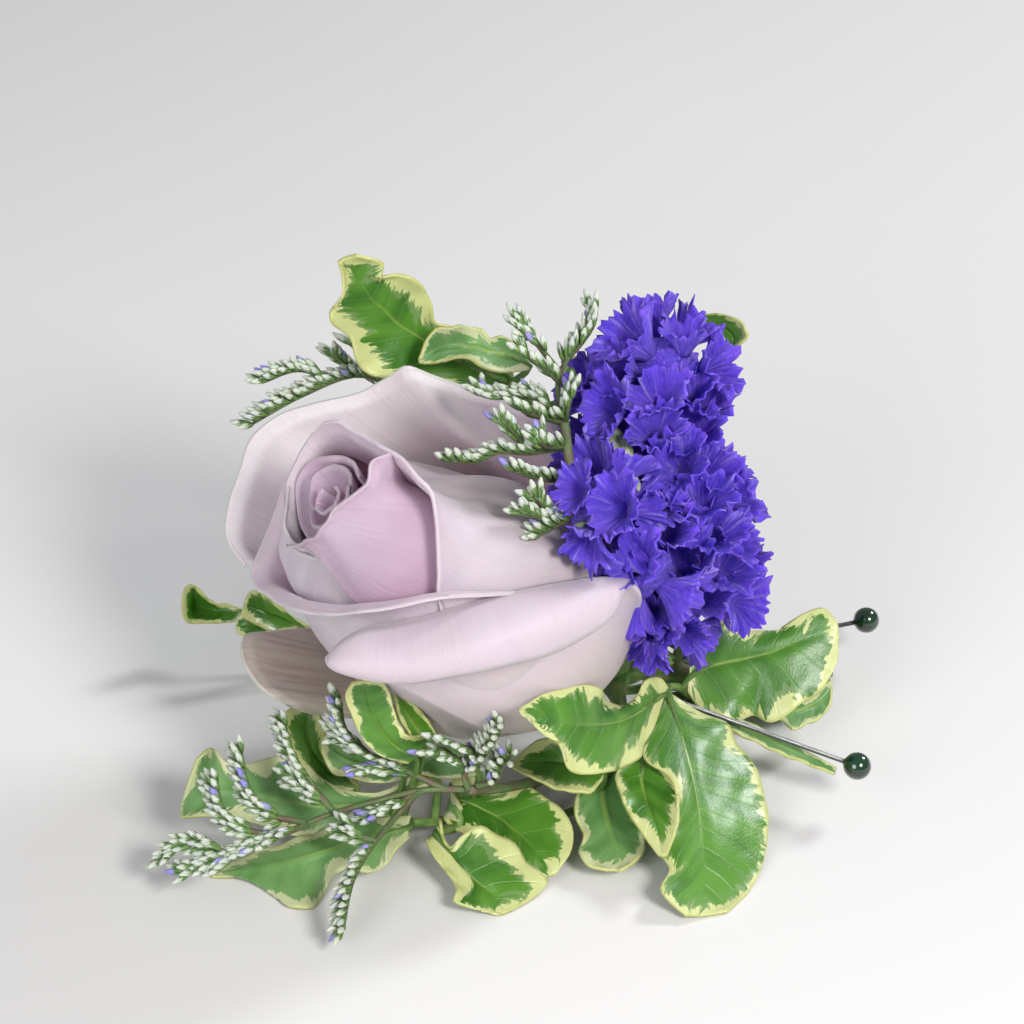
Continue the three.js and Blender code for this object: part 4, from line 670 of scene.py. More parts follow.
def rose_stem():
    """The rose's stem with its hip, and the five sepals under the petals."""
    bm = bmesh.new()
    turned_shape(bm, [(0, -9), (2, -9), (3.6, -7), (4.6, -4.5), (4.4, -2), (3.4, -1.1), (0, -2.4)], 24)
    bmesh.ops.transform(bm, matrix=ROSE_PLACE, verts=bm.verts)
    stalk(bm, AXIS[::20] + [ROSE_BASE - 8 * ROSE_AXIS], 1.9, 1.9, 16, 24)
    finished("rose_stem", bm, [ROSE_GREEN], ["rose_stem"])
    bm = bmesh.new()
    for i in range(5):
        turned = Matrix.Rotation(math.radians(72 * i + 20), 4, "Z")
        blade(bm, lambda u, v: sepal_point(turned, u, v), 10, 18, 2.4, 7, i)
    finished("rose_sepals", bm, [ROSE_GREEN], ["rose_stem"], 0.5)


rose_stem()


# Leaves, each drawn by its left margin, its midrib and its right margin, from the base to the tip.
# "margin" says how many times narrower the cream margin is than on a broad leaf.

RIGHT_LEAVES = [
    {"left": [(23, -23.2, 13.3), (27.2, -24.8, 11.2), (30.7, -25.5, 10), (32.4, -28.4, 8.4),
        (35.2, -32.5, 5.9), (36.1, -37.9, 3.5), (35.6, -44.3, 1.6), (33.2, -51, 0.25), (29.7, -56.2, 0.25)],
     "rib": [(22.3, -23.5, 13.4), (23.6, -28.1, 12.4), (24.6, -33.1, 11.4), (25.4, -37.7, 9.9),
        (26.1, -42.3, 7.9), (26.4, -46.5, 6), (26.6, -50.4, 3.9), (26.7, -53.8, 1.7), (26.6, -57, 0.25)],
     "right": [(21.6, -24.1, 13.5), (19.5, -29.8, 12.7), (18.5, -36.1, 11.8), (22.3, -40.1, 10.7),
        (22.6, -46.3, 8.6), (20.1, -47.8, 5.9), (21.7, -50.9, 3.6), (20.4, -55.2, 3.4), (23.7, -57.8, 1)]},
    {"left": [(21.3, -28.8, 16.1), (20.5, -31.8, 15.5), (18.8, -35.5, 14.1), (17.8, -38.4, 13.6),
        (15.3, -42.4, 14.7), (12, -46.6, 16.8), (9, -49.4, 18.9), (7.5, -50.5, 20.7), (7, -49.6, 23.1),
        (4.6, -49.2, 25.4), (1.4, -49.4, 29)],
     "rib": [(21.6, -27.5, 16.7), (19.9, -30.6, 17.4), (18.2, -33.7, 18.2), (16.3, -36.9, 19.2),
        (14.3, -39.8, 20.5), (12, -42.3, 22), (10.1, -44.1, 23.2), (7.7, -45.9, 24.7), (5.4, -47.3, 26.3),
        (3.1, -48.5, 27.9), (0.9, -49.6, 29.5)],
     "right": [(22.1, -26.4, 16.9), (20.8, -27.8, 19.7), (18.6, -31.5, 21.5), (17.4, -32.3, 19.1),
        (15.3, -34.4, 19.2), (13.3, -36.9, 22), (12, -39, 25.6), (10.3, -40.5, 27.4), (7.3, -42.7, 28.4),
        (3.9, -46, 29.6), (1.2, -49, 29.5)]},
    {"left": [(21.1, -36.8, 10.7), (23.1, -40.4, 10.4), (23.3, -43.8, 9.6), (23, -47, 8.6),
        (22.3, -49.5, 7.7), (21.3, -51.9, 6.7)],
     "rib": [(18.7, -35.1, 10.4), (18.3, -37.3, 9.1), (18.6, -40, 8.2), (19.3, -43.3, 7.7),
        (20.1, -46.8, 7.5), (20.6, -51.8, 6.5)],
     "right": [(16.6, -34.9, 9.7), (14.7, -36.8, 9.7), (15.1, -40.8, 9.3), (16.2, -44.2, 8.4),
        (17.8, -47.3, 7.4), (20, -51.3, 6.4)]},
    {"left": [(25.8, -18.4, 13.6), (26.2, -15.9, 16.8), (26.6, -15.1, 19.4), (29, -14.4, 21.1),
        (31.3, -14, 19.6), (33.6, -14, 18.3), (36.3, -13.9, 18), (38, -14.3, 17.9), (39.8, -14.3, 19.3),
        (42.4, -13.9, 21.2), (45.3, -13.5, 21.9), (47, -13.9, 20.4)],
     "rib": [(25.6, -19.2, 12.8), (27, -17.7, 14.4), (29, -17.9, 14.8), (31.2, -17.9, 15.4),
        (33.4, -17.9, 15.9), (35.6, -17.7, 16.4), (37.9, -17.4, 16.9), (40.1, -16.8, 17.6),
        (42.4, -16.1, 18.2), (44.6, -15.4, 18.7), (46.2, -14.8, 19.2), (47.5, -14.3, 19.5)],
     "right": [(25.5, -20, 12), (25.7, -20.3, 11.5), (27.6, -22.2, 9.8), (30, -23.6, 9), (32.5, -23.1, 8.5),
        (35.2, -21.8, 8.7), (37.3, -23.4, 8.6), (39.3, -23.6, 9.6), (42.2, -22.1, 11.3), (45.2, -20.4, 12.8),
        (47.4, -17.5, 15.9), (47.5, -15, 18.8)]},
    {"left": [(28.8, -20.3, 9), (39.1, -19.2, 6.4), (41, -22, 6.3), (42.9, -20.1, 5.8), (44.8, -18.6, 5.6),
        (46.8, -15.8, 5.7), (47.7, -11.4, 6.2)],
     "rib": [(29, -19.5, 9.2), (39.4, -17.8, 6.7), (42, -17.4, 6.2), (43.7, -16, 6), (45.4, -14.3, 5.9),
        (46.7, -12.4, 6), (47.7, -10.3, 6.3)],
     "right": [(29.3, -18.7, 9.3), (39.9, -16.8, 7.4), (41.8, -16.5, 7.4), (43.6, -15.6, 7.4),
        (45.4, -13.6, 7.4), (46.7, -11.6, 7.1), (47.5, -10.1, 6.6)]},
    {"left": [(29.4, -23.8, 8.9), (34.6, -27.2, 8.1), (40.2, -30.2, 7.3), (45.9, -32.8, 6.3)],
     "rib": [(30, -22.8, 9), (35.2, -25.6, 8), (40.8, -28.9, 7.1), (46.3, -32.2, 6.3)],
     "right": [(30.6, -21.8, 9.3), (35.5, -24.2, 8.6), (41, -27.6, 7.6), (46.4, -31.6, 6.7)]},
]
FRONT_LEAVES = [
    {"left": [(12.7, -37.8, 8.9), (11.1, -40.2, 8.6), (9.1, -40.5, 9), (6.8, -39.9, 8.9), (4.4, -39, 9.4),
        (2.5, -38, 9.8), (0.3, -36.6, 10.2)],
     "rib": [(13, -36.5, 9.5), (10.8, -36, 9.8), (8.8, -35.1, 9.9), (6.8, -34.6, 9.9), (4.9, -34.7, 10.1),
        (2.5, -35.3, 10.3), (-0.1, -36, 10.3)],
     "right": [(13, -35.7, 9.8), (10.8, -34.6, 11), (8.4, -33.7, 11.8), (6.8, -32.9, 12.4),
        (5.1, -32.6, 12.7), (2.7, -33.5, 12.1), (0.3, -35.8, 10.6)]},
    {"left": [(12.5, -33.3, 7), (10.9, -35.4, 6.6), (9.1, -38.1, 6.2), (9, -40.9, 4.9), (10.1, -43.4, 3.6),
        (9.3, -46.6, 3.2), (10.6, -49.1, 2.8), (13.1, -49.6, 2.4)],
     "rib": [(14.5, -33, 7.3), (13.1, -34.6, 6), (12.9, -37, 4.9), (13.3, -39.6, 3.9), (13.9, -42.6, 3.2),
        (14.6, -45.3, 2.9), (14.5, -47.7, 2.5), (14.1, -49.5, 2.1)],
     "right": [(17.3, -33.3, 7.5), (18.4, -36, 7.1), (18.7, -39.1, 6.5), (18.6, -41.9, 5.6),
        (18.5, -44.4, 4.6), (18.4, -46.9, 3.6), (16.4, -49.2, 2.9), (15, -49.9, 2.5)]},
    {"left": [(-7, -39.6, 5.4), (-8.7, -34.5, 6.5), (-5.9, -33.7, 6.7), (-3.3, -35.2, 6.5), (-1.1, -36, 6.4),
        (1.7, -36.4, 6.9), (4.4, -38.1, 6.5), (6.8, -39.9, 5.6), (8.5, -43, 4.5), (8.1, -47, 3.2),
        (5.9, -50.1, 2)],
     "rib": [(-7.4, -40.8, 4.9), (-8.7, -37.2, 5.2), (-6.3, -37.8, 5), (-3.9, -39.1, 4.7), (-1.7, -40.8, 4.6),
        (0.1, -42.8, 4.3), (1.7, -44.6, 4), (3, -46.2, 3.6), (4, -47.5, 3.1), (4.8, -48.7, 2.6),
        (5.5, -50.3, 2)],
     "right": [(-7.4, -42, 4.9), (-9.6, -40.7, 4.7), (-8.2, -42.7, 4.3), (-6.6, -43.6, 4), (-5, -44.5, 3.7),
        (-3.4, -45.2, 3.3), (-1.9, -46.6, 2.9), (-0.3, -47.5, 2.6), (1.3, -48.5, 2.4), (2.8, -49.4, 2.2),
        (4.9, -50.3, 1.9)]},
    {"left": [(-10, -43.5, 6.8), (-9.5, -46.8, 5.5), (-8.5, -48, 5.2), (-6.9, -46.9, 6.5), (-4.5, -45.6, 7),
        (-2.1, -45.9, 5.8), (0.5, -46.6, 4.3), (2.2, -48.6, 2.7), (5, -50.2, 1.3), (3.6, -52.7, 0.6),
        (-0.1, -55.9, 0.25)],
     "rib": [(-10.9, -45.2, 5.2), (-9.5, -47.2, 4.6), (-8.3, -48.7, 4.1), (-7.1, -50.4, 3.7),
        (-5.9, -51.6, 3.2), (-4.8, -52.6, 2.7), (-3.6, -53.4, 2.2), (-2.6, -54, 1.6), (-1.8, -54.8, 1.1),
        (-1.4, -55.7, 0.6), (-1.1, -56.5, 0.25)],
     "right": [(-12, -46.5, 5.3), (-11, -48.8, 4.6), (-10, -50.2, 4), (-9, -51.4, 3.5), (-8.2, -52.7, 3.1),
        (-7.6, -54.4, 2.7), (-8, -56.4, 2.6), (-6.4, -56.8, 1.8), (-4.7, -56.7, 1.2), (-3, -56.7, 0.8),
        (-1.6, -56.7, 0.4)]},
]
LEFT_LEAVES = [
    {"left": [(-14.2, -41.4, 5.3), (-16.6, -41.3, 5.2), (-19.4, -41.5, 4.9), (-22.7, -41.7, 4.5),
        (-25.1, -42.2, 4.1), (-27.5, -42.8, 3.5), (-29.9, -43.4, 3), (-32.3, -43.9, 2.3), (-35.1, -44.7, 1.8),
        (-37.5, -45.6, 1.3), (-39.8, -46.8, 1), (-42, -47.9, 0.5)],
     "rib": [(-14.5, -43.5, 4.9), (-16.9, -44.4, 4.8), (-19.3, -45.2, 4.6), (-21.7, -45.9, 4.3),
        (-24.1, -46.7, 3.9), (-26.4, -47.3, 3.4), (-28.8, -47.7, 2.8), (-31.2, -48.1, 2.2), (-34, -48.1, 1.7),
        (-36.9, -48.1, 1.2), (-39.7, -48.1, 0.6), (-42.4, -48, 0.25)],
     "right": [(-14.3, -45, 4.5), (-16, -47.2, 4.1), (-17.4, -48.6, 2.6), (-19.9, -50.3, 2.5),
        (-22.7, -50, 2.9), (-24.7, -50.2, 2), (-25.8, -52, 0.5), (-27.7, -55.5, 0.4), (-30.4, -55.4, 0.5),
        (-33.2, -52.3, 0.25), (-36.4, -49.4, 0.7), (-41.9, -48.6, 0.25)]},
    {"left": [(-11, -36.4, 9.9), (-14.6, -37.4, 9.1), (-17.8, -38.8, 7.9), (-21.1, -38.9, 7.7),
        (-24.4, -37.9, 7.7), (-27.3, -36.3, 8.5), (-29.3, -35.3, 10.4), (-32.1, -35.4, 11.7),
        (-35, -35.3, 10.8), (-37.9, -35.1, 9.7), (-40.4, -35.4, 10.4), (-42.3, -35, 12.6),
        (-44.3, -36.8, 12)],
     "rib": [(-10.6, -37, 9.3), (-13.8, -38, 8.3), (-17, -39.1, 7.4), (-20.3, -40, 6.5), (-23.5, -40.3, 6.3),
        (-26.7, -40.4, 6.3), (-30, -40, 6.6), (-32.8, -39.5, 6.9), (-35.7, -38.8, 7.2), (-38.5, -38.3, 7.3),
        (-41, -38, 7.3), (-43.4, -37.9, 7.2), (-46.4, -38.7, 6.8)],
     "right": [(-10.6, -37.5, 8.8), (-13.4, -38.9, 7.5), (-16.6, -40.2, 6), (-19.8, -41.3, 4.8),
        (-23.1, -42.1, 3.8), (-26.7, -42.6, 3), (-29.9, -42.6, 2.7), (-32.8, -41.8, 3.1), (-35.7, -41.1, 3.8),
        (-38.9, -40.8, 4.3), (-42.1, -40.7, 4.8), (-44.5, -41, 5), (-46.6, -41.2, 5)]},
    {"left": [(-22.8, -36.6, 6.2), (-26, -37.5, 6.9), (-29.2, -37.2, 9.2), (-30.8, -36.3, 11.1),
        (-32, -35.2, 13.3), (-32.8, -33.5, 15.5), (-31.7, -32.1, 17), (-29.7, -31.1, 17.4)],
     "rib": [(-22, -36.2, 6.4), (-24.5, -35.7, 7.6), (-26.5, -35, 9.1), (-28.1, -34.1, 10.9),
        (-28.9, -33.2, 12.8), (-29.1, -32.2, 14.6), (-28.9, -31.4, 16), (-28.8, -30.9, 17.1)],
     "right": [(-21.6, -35.9, 6.7), (-23.2, -35.8, 8.6), (-25.2, -35.2, 10.2), (-26.8, -35.2, 12.7),
        (-26.3, -34, 14.9), (-26.8, -32.9, 15.9), (-27.6, -31.9, 16.6), (-28.2, -31, 17.1)]},
    {"left": [(-15.4, -37, 10.6), (-17.8, -36.8, 12), (-20.2, -36.7, 12.9), (-22.6, -36.6, 13.6),
        (-24.6, -36.5, 14.2), (-26.1, -36.2, 15.7)],
     "rib": [(-15.4, -37.5, 10), (-17.8, -37.6, 10.8), (-20.2, -37.6, 11.3), (-22.6, -37.7, 12.1),
        (-24.6, -37.4, 13.2), (-26.6, -36.9, 15)],
     "right": [(-15.4, -38, 9.3), (-17.8, -38.9, 9.4), (-20.6, -39.5, 10), (-23, -39.5, 11),
        (-25, -39.7, 11.6), (-26.6, -38.2, 14.2)]},
    {"margin": 3,
     "left": [(-14.3, -43.1, 16.2), (-16.7, -44, 17.3), (-19, -44.7, 19.3), (-20.8, -45, 22.4),
        (-21.9, -44.8, 25.7), (-22.6, -44.5, 28.4), (-21.6, -43.7, 30.1)],
     "rib": [(-13.2, -42.4, 16.6), (-15.1, -43.2, 18.2), (-17, -43.9, 20.7), (-18.5, -44, 23.6),
        (-19.4, -43.7, 26.4), (-19.8, -43.3, 28.5), (-19.6, -42.7, 29.8)],
     "right": [(-10.2, -40.4, 19.1), (-12.1, -42.2, 20.3), (-14.1, -43.8, 21), (-15.4, -43.7, 23),
        (-16.2, -43.1, 25.4), (-16.8, -42.5, 27.8), (-17.6, -42.1, 29.1)]},
    {"margin": 6,
     "left": [(-4.8, -37, 11.6), (-8, -35, 12.6), (-11.6, -33.5, 13.8), (-15.1, -34, 15), (-17.4, -36, 15.1)],
     "rib": [(-4.8, -37, 10.6), (-8, -36, 10.9), (-11.6, -35, 11.4), (-15.1, -35.5, 13.1),
        (-17.4, -36.5, 15.1)],
     "right": [(-4.8, -37, 9.3), (-8.1, -37, 8.8), (-11.6, -37.5, 9.5), (-15.1, -37.5, 11),
        (-17.7, -37, 14.6)]},
    {"margin": 5,
     "left": [(-13.2, -41.6, 18), (-14.3, -41.6, 20), (-15.5, -41.5, 22.3), (-16, -41.2, 24.5),
        (-16.4, -40.9, 26.3), (-16.6, -40.7, 27.4)],
     "rib": [(-12, -41.1, 18.1), (-13.1, -40.6, 20.2), (-14.3, -40.5, 22.6), (-15, -40.5, 24.5),
        (-15.7, -40.7, 26.1), (-16.2, -40.6, 27.4)],
     "right": [(-10.4, -40.4, 18.6), (-11.2, -40.6, 20.7), (-12.3, -40.7, 22.7), (-13.8, -40.7, 24.9),
        (-15, -40.7, 26.3), (-15.7, -40.4, 27.3)]},
]
BACK_LEAVES = [
    {"left": [(-4.2, 3.5, 48), (-8.8, 1.9, 50.3), (-13.3, -0.1, 52.2), (-17.4, -1.9, 53.8),
        (-20.7, -3.1, 55.3), (-22.2, -3.1, 57.6), (-22.9, -2.5, 60.6), (-25.3, -4, 63.8), (-25.5, -3.8, 65.3),
        (-24, -1.4, 66.4), (-23.7, -0.5, 69.2), (-24.3, -0.9, 72)],
     "rib": [(-0.5, 5.6, 48.7), (-4.2, 4.9, 50.8), (-7.9, 4.2, 53.2), (-11.1, 3.7, 55.6), (-13.8, 3.2, 58),
        (-16.5, 2.5, 60.4), (-18.2, 2.1, 62.7), (-20, 1.6, 64.8), (-21.1, 1.5, 66.7), (-22.1, 1.2, 68.6),
        (-22.9, 0.7, 70.4), (-23.5, 0, 72.1)],
     "right": [(0, 6.4, 50.4), (-3.3, 5.7, 53.5), (-6.5, 4.8, 56.6), (-8.7, 4.2, 58.8), (-11.1, 2.9, 60.2),
        (-11.6, 2.9, 63.3), (-12.6, 2.4, 66.2), (-14.7, 1.5, 68.4), (-16.7, 1.1, 68.8), (-18.4, 1, 68.4),
        (-18.1, 0.9, 70.6), (-21.8, -0.7, 72.9)]},
    {"left": [(2.4, 3.1, 54), (0.7, 3.2, 56.6), (-1.4, 2.6, 58.2), (-3.1, 2.2, 58.1), (-4.5, 3.2, 58.9),
        (-6.9, 2.4, 60.1), (-8.7, 1.1, 60.4), (-10.7, 0.3, 60.7), (-12.2, -0.9, 59.5), (-13.1, -2.5, 57.4)],
     "rib": [(2.6, 2.6, 53.3), (0.4, 2.4, 54.8), (-1.6, 1.8, 55.7), (-3.5, 1.5, 56.2), (-5.1, 1.8, 56.6),
        (-6.9, 1.7, 56.9), (-8.7, 0.9, 57.4), (-10.3, -0.1, 57.6), (-11.8, -1.4, 57.5), (-13.3, -2.8, 57.1)],
     "right": [(2.3, 2.1, 52.8), (0, 0.7, 53.3), (-2.3, -0.6, 54.1), (-4.6, -1.6, 55.7), (-6.6, -1.8, 57.2),
        (-8.4, -2, 57.1), (-9.9, -2.4, 56.8), (-11.1, -2.8, 56.8), (-12.3, -3, 56.8), (-13.1, -3, 56.9)]},
    {"left": [(10, 3.2, 48.2), (11.1, 2.8, 51.9), (11.1, 3, 53.7), (10.4, 3.4, 54.4)],
     "rib": [(8.1, 4, 47.5), (8.8, 4, 50.7), (9.6, 3.6, 53), (9.9, 3.7, 54.4)],
     "right": [(7, 4.5, 47.2), (6.9, 4.5, 50.4), (7.8, 4.1, 53), (9.1, 4, 54.2)]},
    {"left": [(25.2, 10.6, 56.9), (28.3, 9.2, 58.2), (31, 7.5, 59), (33.1, 5.3, 58.9), (33.9, 3.9, 57.6),
        (32.7, 4, 55.7), (32, 4.3, 54.5)],
     "rib": [(25.2, 10.4, 56.5), (27.7, 9.1, 56.9), (29.9, 7.7, 57.1), (31.4, 6.4, 57), (32.1, 5.4, 56.3),
        (32, 4.9, 55.2), (31.6, 4.6, 54.2)],
     "right": [(25.2, 10, 55.9), (27.4, 8.1, 55.8), (29, 6.9, 55.6), (30.1, 6.1, 55.6), (30.6, 5.5, 55.2),
        (30.9, 5.1, 54.7), (31.2, 4.7, 54.2)]},
]
LOW_LEAVES = [
    {"left": [(-41.6, 4.8, 8.4), (-42.4, 3.9, 7.9), (-43.7, 3.8, 7.8), (-44.9, 3.8, 7.7), (-46.3, 3.7, 7.7),
        (-47.7, 3.5, 7.9), (-48.8, 3, 8.2), (-49.6, 2.6, 8.8), (-50, 2.7, 9.8)],
     "rib": [(-41.6, 5.2, 8.9), (-42.7, 5.4, 8.7), (-44, 5.7, 8.4), (-45.3, 6.1, 8.1), (-46.7, 6.7, 8),
        (-48, 7, 8), (-48.8, 6.7, 8.4), (-49.5, 5, 9.5), (-50.2, 3.4, 10.5)],
     "right": [(-41.6, 5.4, 9.1), (-42.7, 5.7, 9.3), (-43.9, 5.8, 9.7), (-45.1, 5.8, 9.7), (-46.5, 6, 10.4),
        (-47.8, 6.7, 11.6), (-48.6, 6.8, 12.5), (-49.6, 6.1, 12.8), (-50.1, 5, 12.3)]},
    {"left": [(-29.2, 1.7, 6.8), (-31.8, 1.2, 7.1), (-34.3, 0.6, 7.7), (-36.7, 0, 8.7), (-38.6, 0, 9.9),
        (-40.1, 0.1, 10.7), (-41.1, 0.5, 11.3)],
     "rib": [(-29.5, 1.8, 7), (-32.6, 2, 8.4), (-35.2, 2.3, 9.7), (-37.3, 2.2, 10.7), (-38.6, 2, 11.5),
        (-39.8, 1.7, 12), (-40.8, 1.3, 12)],
     "right": [(-30.1, 1.8, 7.4), (-33.5, 2.4, 10), (-36.4, 3.1, 12.3), (-37.7, 2.9, 13.4),
        (-38.9, 2.6, 14.3), (-39.9, 2.4, 14), (-40.4, 1.8, 12.7)]},
    {"left": [(-37.3, 1.5, 7.2), (-38.4, 0.7, 7.4), (-39.7, 0.2, 7.5), (-40.9, 0.2, 7.7), (-41.8, 0.6, 8.2)],
     "rib": [(-37.1, 1.9, 7.8), (-38.2, 1, 8.9), (-39.5, 0.5, 9.3), (-40.7, 0.4, 9.2), (-41.9, 0.9, 9)],
     "right": [(-37.1, 2.3, 8.4), (-37.8, 2.2, 9.6), (-39.2, 1.8, 10.2), (-40.6, 1.6, 10.3),
        (-41.4, 1.6, 9.7)]},
]
for leaf in RIGHT_LEAVES + FRONT_LEAVES + LEFT_LEAVES + BACK_LEAVES + LOW_LEAVES:
    leaf.update({key: vectors(leaf[key]) for key in ("left", "rib", "right")})


def leaf_lines(leaf, v):
    return (smooth_at(leaf[key], v) for key in ("left", "rib", "right"))


def leaf_point(leaf, number, u, v):
    """A place on a leaf, which is creased along its midrib, wavy at its rim and never under the floor."""
    left, rib, right = leaf_lines(leaf, v)
    place = rib + (right - left) / 2 * u + ((left + right) / 2 - rib) * u * u
    upwards = (right - left).cross(leaf["rib"][-1] - leaf["rib"][0]).normalized()
    crease = -0.3 * math.exp(-(u / 0.12) ** 2) * math.sin(math.pi * v)
    ripple = 0.3 * noise.noise(place * 0.35 + Vector((0, 0, number * 9.7))) * abs(u)
    ripple += 0.22 * abs(u) ** 3 * math.sin(34 * v + 5 * number + (2 if u > 0 else 0)) * math.sin(math.pi * v)
    place += upwards * (crease + ripple)
    place.z = max(place.z, 0.35)
    return place


def leaf_inset(leaf, length, u, v):
    left, rib, right = leaf_lines(leaf, v)
    side = (left - rib).length if u < 0 else (right - rib).length
    return min((1 - abs(u)) * side, (1 - v) * length * 0.9, (v + 0.06) * length)


def leafy_sprig(name, turn, points, leaves, first, twigs=()):
    """A leafy stem: a round stem and twigs as one piece, and its leaves as another."""
    stems = bmesh.new()
    line = even_line(sprig_line(turn, points), 80)
    stalk(stems, line[::2], 0.8, 0.6, 8, 60, first)
    spots = line[32:]
    for twig in twigs:
        stalk(stems, twig, 0.7, 0.5, 8, 10, first)
        spots += even_line(twig, 40)[16:]
    blades = bmesh.new()
    for number, leaf in enumerate(leaves, first):
        base, tip = leaf["rib"][0], leaf["rib"][-1]
        near = min(spots, key=lambda spot: (spot - base).length)
        inner = base.lerp(leaf["rib"][1], 0.5)
        bend = near.lerp(inner, 0.5) if (near - base).length < 1.5 else base
        stalk(stems, [near, bend, inner, leaf_point(leaf, number, 0, 0.2)], 0.7, 0.3, 8, 8, first)
        length = (tip - base).length
        middle = len(leaf["rib"]) // 2
        half = (leaf["right"][middle] - leaf["left"][middle]).length / 2
        narrow = leaf.get("margin", max(1, 6.5 / half))
        blade(blades, lambda u, v: leaf_point(leaf, number, u, v), 36, max(30, round(length * 2)), half,
              length, number, lambda u, v: leaf_inset(leaf, length, u, v) * narrow)
    finished(name + "_stem", stems, [STEM], [name])
    finished(name, blades, [LEAF_TOP, LEAF_UNDER], [name], 0.45)


leafy_sprig("leaves_right", 80, [(26.5, -18, 10), (24, -20, 12.5), (22, -23, 14.5)], RIGHT_LEAVES, 1,
            [[(25, -19.3, 11.5), (28, -20.5, 9.8), (30, -22.6, 9.2)],
             [(22.5, -22, 14), (20.8, -25, 12.5), (19.5, -28, 11)]])
leafy_sprig("leaves_front", 120, [(23, -18.5, 5), (17, -28, 3), (13, -34, 3.2), (4, -38.5, 2.2),
                                  (-8.4, -42.4, 4)], FRONT_LEAVES, 11)
leafy_sprig("leaves_left", 200, [(19, -16, 3.4), (8, -26, 2.6), (-4, -35, 2), (-13, -40.5, 3.6),
                                 (-26, -39, 6), (-37, -37.2, 5)], LEFT_LEAVES, 21)
leafy_sprig("leaves_low", 240, [(18, -8, 3.4), (0, -2, 2), (-20, 1, 0.9), (-31, 1.5, 0.7)], LOW_LEAVES, 31)
leafy_sprig("leaves_back", 320, [(21, -3, 12), (16, 4, 28), (6, 7, 42), (-5.5, 5, 50)], BACK_LEAVES, 41,
            [[(10, 6, 37), (16, 7, 45), (20, 5, 52)]])


# Caspia: each branchlet is a line of points, with the share of it that is bare

def bud(bm, at, direction, length, number):
    """Adds a slender pointed bud with a narrow foot."""
    sheet, rise, _ = marks_of(bm)
    made = bmesh.ops.create_uvsphere(bm, u_segments=6, v_segments=5, radius=1)["verts"]
    for vert in made:
        share = (vert.co.z + 1) / 2
        width = 0.52 * math.sin(math.pi * min(1.0, 0.1 + 0.88 * share ** 1.2)) ** 0.8
        around = vert.co.xy.length
        ring = width / around if around > 0.05 else 0
        vert[sheet] = (math.atan2(vert.co.y, vert.co.x) * 0.6, share * length, number)
        vert[rise] = share
        vert.co = Vector((vert.co.x * ring, vert.co.y * ring, share * length))
    bmesh.ops.transform(bm, matrix=Matrix.Translation(at) @ turn_between(UP, direction), verts=made)


def caspia(name, turn, points, branchlets, lean, seed):
    """A spray whose buds crowd along its branchlets and all lean one way."""
    chance = random.Random(seed)
    twigs, buds = bmesh.new(), bmesh.new()
    stalk(twigs, sprig_line(turn, points), 0.8, 0.7, 8, 60, seed)
    number = 0
    for points, bare in branchlets:
        stalk(twigs, points, 0.5, 0.25, 6, 14, seed)
        line = even_line(points, 100)
        length = sum((after - before).length for before, after in zip(line, line[1:]))
        count = round(length * (1 - bare) / 0.4)
        for i in range(count):
            k = round(100 * mix(bare, 1, i / (count - 1)))
            forward = (line[min(100, k + 3)] - line[max(0, k - 3)]).normalized()
            side = forward.cross(lean).normalized()
            swing = (i % 3 - 1) * 0.5 + chance.uniform(-0.2, 0.2)
            upright = lean * chance.uniform(0.5, 0.9) * (0.5 if i > count - 4 else 1)
            direction = (forward * 0.6 + upright + side * swing).normalized()
            bud(buds, line[k] + side * swing * 0.7, direction, chance.uniform(2.7, 3.5), number)
            number += 1
    finished(name + "_twigs", twigs, [TWIG], [name])
    finished(name, buds, [BUD], [name])


